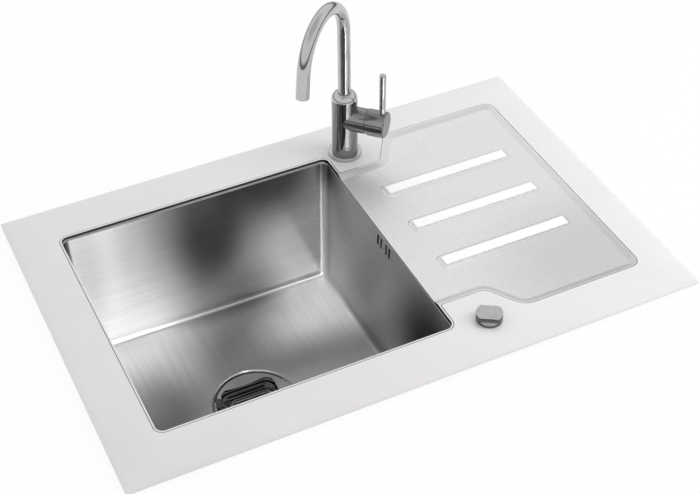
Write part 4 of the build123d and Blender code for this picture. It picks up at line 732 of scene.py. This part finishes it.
# Bowl: long strokes of the belt, which draw every highlight out into a band, under painted
# reflections and painted shadow round the overflow slots.
BOWL_STEEL = BrushedSteel(
    "stainless_sheet_brushed",
    "stainless_steel",
    "F8F7F7",
    "E2E2E2",
    smooth=0.33,
    rough=0.37,
    spread=1.0,
    stroke_width=0.8,
    stroke_length=90.0,
    painted_shading=BOWL_PAINTED_REFLECTIONS,
    shadows=SLOT_SHADOWS,
)
# Top sheet: short dull strokes that leave it pale and even, with a painted shade line at each step,
# painted shade on its pressed slopes and painted shade towards its front right corner.
DRAINER_STEEL = BrushedSteel(
    "stainless_sheet_satin",
    "stainless_steel",
    "EFEEEE",
    "E7E6E6",
    smooth=0.42,
    rough=0.5,
    spread=0.3,
    stroke_width=0.9,
    stroke_length=7.0,
    # Painted shade towards the front right corner of the sheet.
    painted_shading=(PaintedShadePatch((300.0, -150.0, 8.0), (210.0, 170.0, 60.0), 0.84),),
    # Painted shade lines on the upright sides of the mouth, the bowl's right edge and the steps near
    # the rim's height.
    painted_step_shade=(
        PaintedShadePatch((-130.5, 0.0, 9.7), (214.0, 205.0, 4.0), 0.02, 0.9, PatchShape.SQUARE),
        PaintedShadePatch((66.0, 0.0, 7.5), (4.0, 205.0, 3.2), 0.02, 0.88, PatchShape.SQUARE),
        PaintedShadePatch((230.0, 0.0, 9.7), (900.0, 900.0, 1.6), 0.6),
    ),
    painted_slope_shade=0.94,
)
# Flange and strainer: buffed steel, which mirrors the bowl in dark clear shapes.
POLISHED_STEEL = PlatedMetal(
    "stainless_polished", "polished_steel", "8A8B8D", "828385", 0.05, 0.09
)
# Screws and pins: turned steel, pale with a soft sheen.
MACHINED_STEEL = PlatedMetal(
    "stainless_machined", "stainless_steel", "C4C7C9", "A6A9AC", 0.24, 0.36
)
# Clamps: zinc plate, dull and faintly blue with a frosty mottle.
ZINC_STEEL = PlatedMetal(
    "steel_zinc_plated", "zinc_steel", "B4BABF", "8D949A", 0.34, 0.5, 9.0, 0.03
)
# Spout, collar and lever: chrome on drawn brass, which mirrors the room almost clearly.
CHROME = PlatedMetal(
    "brass_chrome_tube", "chrome_plate", "BDBEBF", "B3B4B5", 0.04, 0.07, 22.0, 0.002
)
# Body, cap and cover ring: chrome on a casting, given a darker colour than the tube's chrome as
# painted shade for its darker reflections.
SHADED_CAST_CHROME = PlatedMetal(
    "brass_chrome_casting", "chrome_plate", "898A8B", "818283", 0.04, 0.08, 18.0, 0.003
)
# Knob: satin top that glows evenly, above a side darkened by painted shade.
SATIN_CHROME = PlatedMetal(
    "zinc_satin_chrome", "satin_chrome", "BFBFC0", "B1B1B2", 0.3, 0.4, 6.0, painted_side_shade=0.3
)
# Nuts, spindles and studs: turned brass, warm yellow with a soft sheen.
BRASS = PlatedMetal("brass_turned", "brass", "C9A660", "A98646", 0.22, 0.38, 8.0, 0.02)
# Waste and housings: moulded plastic, a matt mid grey with fine grain.
GREY_PLASTIC = SoftMatter(
    "polypropylene_grey", "grey_plastic", "7E8284", "74787A", 0.48, 1.2, 0.03
)
# Cartridge and bushing: acetal, off-white and a little waxy.
WHITE_PLASTIC = SoftMatter("acetal_white", "white_plastic", "E7E6E1", "DCDBD6", 0.42, 1.5, 0.02)
# Seals: black rubber with hardly any gloss.
RUBBER = SoftMatter("rubber_moulded", "black_rubber", "252627", "1C1D1E", 0.72, 0.8, 0.04, 1.52)
# Seal under the rim: grey foam, dull and pitted.
FOAM = SoftMatter("polyethylene_foam", "foam", "55585A", "35383A", 0.9, 1.6, 0.35)
# Pads on the bowl: heavy black sheet with a coarse skin.
BITUMEN = SoftMatter("bitumen_sheet", "bitumen", "2C2D2E", "1D1E1F", 0.8, 5.0, 0.5, 1.6)
# Bond under the glass: pale silicone with a low smooth sheen.
ADHESIVE = SoftMatter("silicone_adhesive", "adhesive", "C9CBCA", "BCBEBD", 0.5, 6.0, 0.1, 1.41)


@dataclass
class Workshop:
    """Where the sub-assemblies are dressed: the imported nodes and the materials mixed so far.

    Attributes:
        nodes: Packed objects by node name.
        shelf: Materials made so far, by finish name.
        smooth_angle: Angle below which two faces shade as one, in degrees.
        sharp_angle: Angle above which an edge counts as an arris, in degrees.
        flat_angle: Angle below which two faces are merged into one, in degrees.
        merge_distance: Distance below which two corners are merged, in millimetres.
        face_weight: How much more large faces sway the shading than small ones, 1 to 100.
    """

    nodes: dict[str, bpy.types.Object]
    shelf: dict[str, bpy.types.Material] = field(default_factory=dict)
    smooth_angle: float = 35.0
    sharp_angle: float = 28.0
    flat_angle: float = 0.3
    merge_distance: float = 0.002
    face_weight: int = 60

    def material(self, finish: Finish) -> bpy.types.Material:
        """Takes the finish's material from the shelf, and makes it first if it isn't there.

        Args:
            finish: The finish wanted.

        Returns:
            Its material.
        """
        if finish.name not in self.shelf:
            self.shelf[finish.name] = finish.material()
        return self.shelf[finish.name]

    def dress(self, finish: Finish, *names: str) -> None:
        """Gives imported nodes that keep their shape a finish.

        Args:
            finish: The finish.
            names: The nodes.
        """
        for name in names:
            piece = self.nodes[name]
            piece.data.materials.clear()
            piece.data.materials.append(self.material(finish))
            LOG.info("%s keeps its shape, in %s", name, finish.name)

    def add(
        self, name: str, body: str, finish: Finish, bm: bmesh.types.BMesh
    ) -> bpy.types.Object:
        """Makes a finished mesh into a piece that rides on a body.

        Args:
            name: Name of the piece.
            body: Body that it rides on.
            finish: Its finish.
            bm: Its mesh, which is freed.

        Returns:
            The piece.
        """
        smooth_angle = math.radians(self.smooth_angle)
        for face in bm.faces:
            face.smooth = True
        for edge in bm.edges:
            edge.smooth = edge.calc_face_angle(math.pi) < smooth_angle
        mesh = bpy.data.meshes.new(name)
        bm.to_mesh(mesh)
        bm.free()
        piece = bpy.data.objects.new(name, mesh)
        bpy.context.scene.collection.objects.link(piece)
        mesh.materials.append(self.material(finish))
        weighted = piece.modifiers.new("even_shading", "WEIGHTED_NORMAL")
        weighted.keep_sharp = True
        weighted.weight = self.face_weight
        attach(piece, body)
        LOG.info("%s made with %d faces, in %s", name, len(mesh.polygons), finish.name)
        return piece

    def ease(self, node: str, body: str, finish: Finish, radius: float, segments: int = 2) -> None:
        """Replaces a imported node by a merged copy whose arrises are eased, as a maker leaves them.

        Args:
            node: The node.
            body: Body that it rides on.
            finish: Its finish.
            radius: Width of the eased arris, in millimetres.
            segments: Faces across it.
        """
        bm = bmesh.new()
        bm.from_mesh(self.nodes[node].data)
        merge_distance = self.merge_distance * MILLIMETRE
        bmesh.ops.remove_doubles(bm, verts=bm.verts[:], dist=merge_distance)
        bmesh.ops.dissolve_limit(
            bm, angle_limit=math.radians(self.flat_angle), verts=bm.verts[:], edges=bm.edges[:]
        )
        arrises = [
            edge
            for edge in bm.edges
            if edge.calc_face_angle(0.0) > math.radians(self.sharp_angle)
        ]
        bmesh.ops.bevel(
            bm,
            geom=arrises,
            offset=radius * MILLIMETRE,
            offset_type="OFFSET",
            affect="EDGES",
            segments=segments,
            profile=0.5,
            material=-1,
            clamp_overlap=True,
        )
        bmesh.ops.triangulate(bm, faces=[face for face in bm.faces if len(face.verts) > 4])
        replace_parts(self.add(f"{node}_eased", body, finish, bm), node)


@dataclass(frozen=True)
class ScrewThread:
    """Screw thread that stands as a ridge round an upright shank.

    Attributes:
        pitch: Rise of one turn, in millimetres.
        shank_radius: Radius of the shank that it winds round, in millimetres.
        bottom: Height of its lower end, in millimetres.
        top: Height of its upper end, in millimetres.
        steps: Faces round one turn.
    """

    pitch: float
    shank_radius: float
    bottom: float
    top: float
    steps: int = 12

    def wind(self, places: tuple[tuple[float, float], ...]) -> bmesh.types.BMesh:
        """Winds the ridge round the first shank and copies it to the others.

        Args:
            places: Where the axes of the shanks stand, in millimetres.

        Returns:
            Mesh of all the ridges.
        """
        ridge = self.ridge()
        pattern = bpy.data.meshes.new("thread_pattern")
        ridge.to_mesh(pattern)
        ridge.free()
        bm = bmesh.new()
        for place in places:
            known = len(bm.verts)
            bm.from_mesh(pattern)
            bm.verts.ensure_lookup_table()
            shift = Vector((place[0], place[1], 0.0)) * MILLIMETRE
            bmesh.ops.translate(bm, verts=bm.verts[known:], vec=shift)
        bpy.data.meshes.remove(pattern)
        bm.normal_update()
        return bm

    def ridge(self) -> bmesh.types.BMesh:
        """Spins one ridge round the Z axis, closes its ends and turns its faces outwards.

        Returns:
            Mesh of the ridge.
        """
        bm = bmesh.new()
        height = THREAD_HEIGHT * self.pitch
        profile = [
            bm.verts.new(Vector((self.shank_radius + out, 0.0, self.bottom + rise)) * MILLIMETRE)
            for out, rise in (
                (-THREAD_SUNK, THREAD_FOOT[0] * self.pitch),
                (height, THREAD_CREST[0] * self.pitch),
                (height, THREAD_CREST[1] * self.pitch),
                (-THREAD_SUNK, THREAD_FOOT[1] * self.pitch),
            )
        ]
        edges = [bm.edges.new(pair) for pair in zip(profile, profile[1:])]
        turns = int((self.top - self.bottom) / self.pitch) - 1
        spun = bmesh.ops.spin(
            bm,
            geom=profile + edges,
            cent=(0.0, 0.0, 0.0),
            axis=Axis.Z.value,
            dvec=(0.0, 0.0, self.pitch * MILLIMETRE / self.steps),
            angle=2 * math.pi * turns,
            steps=self.steps * turns,
            use_duplicate=False,
        )
        last = [part for part in spun["geom_last"] if isinstance(part, bmesh.types.BMVert)]
        last.sort(key=lambda vert: vert.co.z)
        bm.normal_update()
        for face in bm.faces:
            if face.normal.xy.dot(face.calc_center_median().xy) < 0:
                face.normal_flip()
        bm.faces.new(profile)
        bm.faces.new(reversed(last))
        return bm


@dataclass
class SubAssembly:
    """One sub-assembly of the sink.

    Attributes:
        shop: Workshop that dresses its pieces.
    """

    shop: Workshop

    def build(self) -> None:
        """Builds the sub-assembly's meshes and dresses them. Each one has its own way."""
        raise NotImplementedError


@dataclass
class GlassRim(SubAssembly):
    """White glass rim, the strips let in on the drainer's ribs and the adhesive.

    Attributes:
        arris: Width of the ground arris of the rim, in millimetres.
        strip_arris: Width of the arris of a strip, in millimetres.
    """

    arris: float = 0.4
    strip_arris: float = 0.25

    def build(self) -> None:
        """Eases the glass and dresses the adhesive."""
        self.shop.ease("glass_top", "sink", WHITE_GLASS, self.arris)
        self.shop.ease("rib_strips", "sink", STRIP_GLASS, self.strip_arris)
        self.shop.dress(ADHESIVE, "glass_bond")


@dataclass
class SteelBody(SubAssembly):
    """Pressed top sheet and welded bowl, with the pads that deaden the bowl."""

    def build(self) -> None:
        """Dresses the sheet, the bowl and the pads."""
        self.shop.dress(DRAINER_STEEL, "top_sheet")
        self.shop.dress(BOWL_STEEL, "bowl")
        self.shop.dress(BITUMEN, "sound_pads")


@dataclass
class RimFixing(SubAssembly):
    """Seal under the rim and the eight clamps that pull the sink down.

    Attributes:
        fold: Width of the rounded arris of a pressed clamp, in millimetres.
        thread: Thread of the M5 clamp screws.
        row_x: Where the clamps of a long side stand along X, in millimetres.
        row_y: How far a long side's clamps stand from the middle, in millimetres.
        end_x: How far a short side's clamp stands from the middle, in millimetres.
    """

    fold: float = 0.3
    thread: ScrewThread = ScrewThread(0.8, 2.5, -43.8, -5.0)
    row_x: tuple[float, ...] = (-250.0, -20.0, 250.0)
    row_y: float = 236.0
    end_x: float = 371.0

    def build(self) -> None:
        """Rounds the pressed clamps, threads the screws and dresses the seal."""
        self.shop.ease("clamp_brackets", "sink", ZINC_STEEL, self.fold)
        self.shop.ease("clamp_claws", "sink", ZINC_STEEL, self.fold)
        self.shop.dress(ZINC_STEEL, "clamp_screws")
        self.shop.dress(FOAM, "rim_gasket")
        rows = tuple((x, side * self.row_y) for side in (1, -1) for x in self.row_x)
        ends = ((self.end_x, 0.0), (-self.end_x, 0.0))
        threads = self.thread.wind(rows + ends)
        self.shop.add("clamp_screw_threads", "sink", ZINC_STEEL, threads)


@dataclass
class Overflow(SubAssembly):
    """Overflow behind the bowl's right wall."""

    def build(self) -> None:
        """Dresses the gasket, the housing and its screw."""
        self.shop.dress(RUBBER, "overflow_gasket")
        self.shop.dress(GREY_PLASTIC, "overflow_housing")
        self.shop.dress(MACHINED_STEEL, "overflow_screw")


@dataclass
class Waste(SubAssembly):
    """Waste fitting with its strainer, its closing part and its lifting lever.

    Attributes:
        rolled_edge: Width of the rolled edges of the strainer's plates, in millimetres.
        outlet_thread: Pipe thread of the outlet, for the trap's union nut.
    """

    rolled_edge: float = 0.2
    outlet_thread: ScrewThread = ScrewThread(2.309, 23.9, -301.0, -274.0, steps=72)

    def build(self) -> None:
        """Rolls the strainer's edges and dresses the fitting from the flange down."""
        self.shop.ease("strainer_cover", "plug", POLISHED_STEEL, self.rolled_edge)
        self.shop.ease("strainer_basket", "plug", POLISHED_STEEL, self.rolled_edge)
        self.shop.dress(POLISHED_STEEL, "waste_flange")
        self.shop.dress(MACHINED_STEEL, "waste_screws", "rocker_axle")
        self.shop.dress(
            GREY_PLASTIC,
            "waste_body",
            "stem_guide",
            "lift_rocker",
            "waste_cable_gland",
            "plug_stem",
            "plug_seal_nut",
        )
        self.shop.dress(RUBBER, "waste_flange_seal", "waste_body_seal", "plug_seal")
        low, high = (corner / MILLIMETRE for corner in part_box("waste_flange"))
        thread = self.outlet_thread.wind((tuple(((low + high) / 2).xy),))
        self.shop.add("outlet_thread", "sink", GREY_PLASTIC, thread)


@dataclass
class KnobDrive(SubAssembly):
    """Turn knob, its bearing in the glass and the cable drive under it.

    Attributes:
        knob_arris: Width of the knob's rounded arrises, in millimetres.
        nut_arris: Width of the nut's chamfers, in millimetres.
    """

    knob_arris: float = 0.35
    nut_arris: float = 0.4

    def build(self) -> None:
        """Rounds the knob and its nut and dresses the drive."""
        self.shop.ease("turn_knob", "knob", SATIN_CHROME, self.knob_arris)
        self.shop.ease("knob_nut", "sink", BRASS, self.nut_arris)
        self.shop.dress(BRASS, "knob_spindle", "knob_bush")
        self.shop.dress(RUBBER, "knob_washer", "knob_seal")
        self.shop.dress(GREY_PLASTIC, "drive_housing", "cable_crank", "knob_cable_gland")


@dataclass
class TapColumn(SubAssembly):
    """Tap body on its base ring, with the studs that clamp it to the glass.

    Attributes:
        ring_arris: Width of the base ring's rounded arris, in millimetres.
        nut_arris: Width of the nuts' chamfers, in millimetres.
        stud_thread: Thread of the M8 studs, below the glass.
        stud_radius: Radius of a stud, in millimetres.
    """

    ring_arris: float = 0.3
    nut_arris: float = 0.35
    stud_thread: ScrewThread = ScrewThread(1.25, 4.0, -34.8, 3.0, steps=16)
    stud_radius: float = 4.0

    def build(self) -> None:
        """Rounds the ring and the nuts, threads the studs and dresses the rest."""
        self.shop.ease("tap_base_ring", "sink", CHROME, self.ring_arris)
        self.shop.ease("tap_nuts", "sink", BRASS, self.nut_arris)
        self.shop.dress(SHADED_CAST_CHROME, "tap_body")
        self.shop.dress(CHROME, "spout_collar")
        self.shop.dress(BRASS, "tap_studs")
        self.shop.dress(RUBBER, "tap_base_seal", "tap_rubber_washer")
        self.shop.dress(ZINC_STEEL, "tap_fixing_plate")
        self.thread_studs()

    def thread_studs(self) -> None:
        """Winds a thread round the lower end of each stud."""
        low, high = (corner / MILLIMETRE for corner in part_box("tap_studs"))
        middle_x = (low.x + high.x) / 2
        ends_y = (low.y + self.stud_radius, high.y - self.stud_radius)
        threads = self.stud_thread.wind(tuple((middle_x, end_y) for end_y in ends_y))
        self.shop.add("stud_threads", "sink", BRASS, threads)


@dataclass
class SwivelSpout(SubAssembly):
    """Swan-neck spout with its bearing and the flow straightener in its tip.

    Attributes:
        sleeve_arris: Width of the tip sleeve's rounded arris, in millimetres.
    """

    sleeve_arris: float = 0.25

    def build(self) -> None:
        """Rounds the sleeve at the tip and dresses the spout and its bearing."""
        self.shop.ease("aerator_housing", "spout", CHROME, self.sleeve_arris)
        self.shop.dress(CHROME, "spout_tube")
        self.shop.dress(BRASS, "spout_sleeve")
        self.shop.dress(RUBBER, "spout_o_rings")
        self.shop.dress(WHITE_PLASTIC, "spout_bushing")
        self.shop.dress(GREY_PLASTIC, "aerator_insert")


@dataclass
class Mixer(SubAssembly):
    """Mixing cartridge with its cover ring, turning cap and lever.

    Attributes:
        cap_arris: Width of the cap's rounded arrises, in millimetres.
        pin_arris: Width of the lever's rounded arris, in millimetres.
    """

    cap_arris: float = 0.3
    pin_arris: float = 0.25

    def build(self) -> None:
        """Rounds the cap and the lever and dresses the cartridge."""
        self.shop.ease("lever_cap", "lever", SHADED_CAST_CHROME, self.cap_arris)
        self.shop.ease("lever_pin", "lever", CHROME, self.pin_arris)
        self.shop.dress(SHADED_CAST_CHROME, "dome_cover")
        self.shop.dress(WHITE_PLASTIC, "cartridge_body", "cartridge_rotor")
        self.shop.dress(BRASS, "cartridge_nut", "mixer_spindle")
        self.shop.dress(MACHINED_STEEL, "cross_pin", "lever_grub_screw")


@dataclass(frozen=True)
class Softbox:
    """One rectangular studio light.

    Attributes:
        name: Name of the light.
        place: Where it hangs, in metres.
        aim: Point that it faces, in metres.
        size: Width and height, in metres.
        power: Watts.
        gleam_on: Nodes that a reflector card gleams on, or none for a plain lamp.
    """

    name: str
    place: tuple[float, float, float]
    aim: tuple[float, float, float]
    size: tuple[float, float]
    power: float
    gleam_on: tuple[str, ...] = ()

    def build(self, nodes: dict[str, bpy.types.Object]) -> None:
        """Hangs the light in the scene.

        Args:
            nodes: Packed objects by node name.
        """
        data = bpy.data.lights.new(self.name, "AREA")
        data.shape = "RECTANGLE"
        data.size, data.size_y = self.size
        data.energy = self.power
        light = bpy.data.objects.new(self.name, data)
        way = Vector(self.aim) - Vector(self.place)
        turn = way.to_track_quat("-Z", "Y").to_matrix().to_4x4()
        light.matrix_world = Matrix.Translation(self.place) @ turn
        light.visible_camera = False
        light.visible_diffuse = not self.gleam_on
        light.visible_glossy = bool(self.gleam_on)
        if self.gleam_on:
            lit = bpy.data.collections.new(self.name)
            for name in self.gleam_on:
                lit.objects.link(nodes[name])
            light.light_linking.receiver_collection = lit
        bpy.context.scene.collection.objects.link(light)


SOFTBOXES = (
    Softbox("softbox_above", (0.75, 0.0, 1.6), (0.1, 0.0, 0.0), (1.6, 1.2), 8.5),
    Softbox("softbox_right", (1.4, -0.6, 0.9), (0.1, -0.1, 0.0), (0.8, 1.0), 8.5),
    Softbox("softbox_left", (-1.2, 0.9, 1.1), (-0.1, 0.0, -0.1), (0.5, 0.8), 1.0),
    Softbox("softbox_back", (0.75, 1.5, 1.4), (0.0, 0.0, 0.0), (1.4, 0.7), 2.0),
    Softbox(
        "card_front",
        (-0.06, -1.3, 1.0),
        (-0.3, 0.19, -0.1),
        (0.4, 1.3),
        13.0,
        gleam_on=("bowl", "top_sheet"),
    ),
)


@dataclass
class Studio:
    """Camera, lights, world and floor.

    Attributes:
        focal_length: Focal length in pixels of the photograph.
        place: Where the camera stands, in metres.
        heading: Turn of the camera from looking along +Y, in degrees.
        tilt: Angle that it looks down, in degrees.
        roll: Turn about its own axis, in degrees.
        cutout: Length and width of the opening that the floor has for the bowl, in metres.
        floor_reach: Half the floor's side, in metres.
        ceiling: Brightness of the studio's ceiling in reflections, 1 being white.
        walls: Brightness of the foot of its far walls in reflections.
        wall_fade: Height of a direction where the walls start and end to brighten, 0 to 1.
        ceiling_fade: Height where the ceiling starts and ends to darken, 0 to 1.
        fill: Colour of the light that comes from all round.
        paper: Colour of the floor's paper.
        floor_glow: Share of plain white that the eye sees in the floor, the rest being lit paper.
    """

    focal_length: float = 1423.4
    place: tuple[float, float, float] = (-0.59585, -1.26167, 1.27093)
    heading: float = -25.74
    tilt: float = 41.94
    roll: float = -0.37
    cutout: tuple[float, float] = (0.760, 0.490)
    floor_reach: float = 6.0
    ceiling: float = 0.7
    walls: float = 0.22
    wall_fade: tuple[float, float] = (0.1, 0.25)
    ceiling_fade: tuple[float, float] = (0.7, 0.95)
    fill: str = "CACACB"
    paper: str = "F4F4F4"
    floor_glow: float = 0.94

    def build(self, nodes: dict[str, bpy.types.Object]) -> None:
        """Builds the camera, the lights, the world and the floor.

        Args:
            nodes: Packed objects by node name.
        """
        scene = bpy.context.scene
        scene.view_settings.view_transform = "Standard"
        self.add_camera()
        self.add_world()
        self.add_floor()
        for softbox in SOFTBOXES:
            softbox.build(nodes)

    def add_camera(self) -> None:
        """Stands the camera where the photograph was taken from."""
        data = bpy.data.cameras.new("camera")
        data.sensor_width = SENSOR_WIDTH
        data.lens = self.focal_length * SENSOR_WIDTH / PHOTO_WIDTH
        data.clip_start = 0.05
        camera = bpy.data.objects.new("camera", data)
        camera.matrix_world = (
            Matrix.Translation(self.place)
            @ Matrix.Rotation(math.radians(self.heading), 4, "Z")
            @ Matrix.Rotation(math.radians(90 - self.tilt), 4, "X")
            @ Matrix.Rotation(math.radians(self.roll), 4, "Z")
        )
        bpy.context.scene.collection.objects.link(camera)
        bpy.context.scene.camera = camera

    def add_world(self) -> None:
        """Makes the world white to the eye, darker at its ends in reflections, grey as a light."""
        world = bpy.data.worlds.new("studio")
        world.use_nodes = True
        tree = world.node_tree
        tree.nodes.clear()
        path = add_node(tree, "ShaderNodeLightPath")
        way = add_node(tree, "ShaderNodeTexCoord")
        height = add_node(tree, "ShaderNodeSeparateXYZ", links={0: way.outputs["Generated"]})
        walls = add_node(
            tree,
            "ShaderNodeValToRGB",
            {
                "stops": [
                    (0.0, (self.walls, self.walls, self.walls, 1.0)),
                    (self.wall_fade[0], (self.walls, self.walls, self.walls, 1.0)),
                    (self.wall_fade[1], WHITE),
                    (self.ceiling_fade[0], WHITE),
                    (self.ceiling_fade[1], (self.ceiling, self.ceiling, self.ceiling, 1.0)),
                ]
            },
            {"Fac": height.outputs["Z"]},
        )
        light = add_node(
            tree,
            "ShaderNodeMix",
            {2: 1.0},
            {0: path.outputs["Is Glossy Ray"], 3: walls.outputs["Color"]},
        )
        white = add_node(
            tree,
            "ShaderNodeBackground",
            {"Color": WHITE},
            {"Strength": light.outputs[0]},
        )
        plain = add_node(
            tree, "ShaderNodeBackground", {"Color": linear(self.fill), "Strength": 1.0}
        )
        both = add_node(
            tree,
            "ShaderNodeMixShader",
            links={0: seen_rays(tree, path), 1: plain.outputs[0], 2: white.outputs[0]},
        )
        add_node(tree, "ShaderNodeOutputWorld", links={"Surface": both.outputs[0]})
        bpy.context.scene.world = world

    def add_floor(self) -> None:
        """Lays the pale floor at the height of the rim, with an opening that the bowl hangs in."""
        mesh = bpy.data.meshes.new("floor")
        bm = bmesh.new()
        half_length, half_width = self.cutout[0] / 2, self.cutout[1] / 2
        inner = [
            bm.verts.new((side_x * half_length, side_y * half_width, 0.0))
            for side_x, side_y in ((-1, -1), (1, -1), (1, 1), (-1, 1))
        ]
        outer = [
            bm.verts.new((side_x * self.floor_reach, side_y * self.floor_reach, 0.0))
            for side_x, side_y in ((-1, -1), (1, -1), (1, 1), (-1, 1))
        ]
        for loop in (inner, outer):
            for start, end in zip(loop, loop[1:] + loop[:1]):
                bm.edges.new((start, end))
        bmesh.ops.bridge_loops(bm, edges=bm.edges[:])
        bmesh.ops.recalc_face_normals(bm, faces=bm.faces[:])
        for face in bm.faces:
            if face.normal.z < 0:
                face.normal_flip()
        bm.to_mesh(mesh)
        bm.free()
        floor = bpy.data.objects.new("floor", mesh)
        bpy.context.scene.collection.objects.link(floor)
        floor.data.materials.append(self.floor_material())

    def floor_material(self) -> bpy.types.Material:
        """Makes the floor's pale paper, which shows white and keeps the object's shadow.

        Returns:
            The new material.
        """
        made = bpy.data.materials.new("floor_paper")
        made.use_nodes = True
        tree = made.node_tree
        tree.nodes.clear()
        path = add_node(tree, "ShaderNodeLightPath")
        share = add_node(
            tree,
            "ShaderNodeMath",
            {"operation": "MULTIPLY", 1: self.floor_glow},
            {0: seen_rays(tree, path)},
        )
        paper = add_node(tree, "ShaderNodeBsdfDiffuse", {"Color": linear(self.paper)})
        glow = add_node(tree, "ShaderNodeEmission", {"Color": WHITE, "Strength": 1.0})
        both = add_node(
            tree,
            "ShaderNodeMixShader",
            links={0: share.outputs[0], 1: paper.outputs[0], 2: glow.outputs[0]},
        )
        add_node(tree, "ShaderNodeOutputMaterial", links={"Surface": both.outputs[0]})
        return made


ASSEMBLY_ORDER: tuple[type[SubAssembly], ...] = (
    GlassRim,
    SteelBody,
    RimFixing,
    Overflow,
    Waste,
    KnobDrive,
    TapColumn,
    SwivelSpout,
    Mixer,
)


def main() -> None:
    """Loads the frame, dresses every sub-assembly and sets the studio."""
    logging.basicConfig(level=logging.INFO, format="%(message)s")
    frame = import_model()
    shop = Workshop(frame["nodes"])
    for kind in ASSEMBLY_ORDER:
        LOG.info("%s:", kind.__name__)
        kind(shop).build()
    Studio().build(frame["nodes"])


if __name__ == "__main__":
    main()
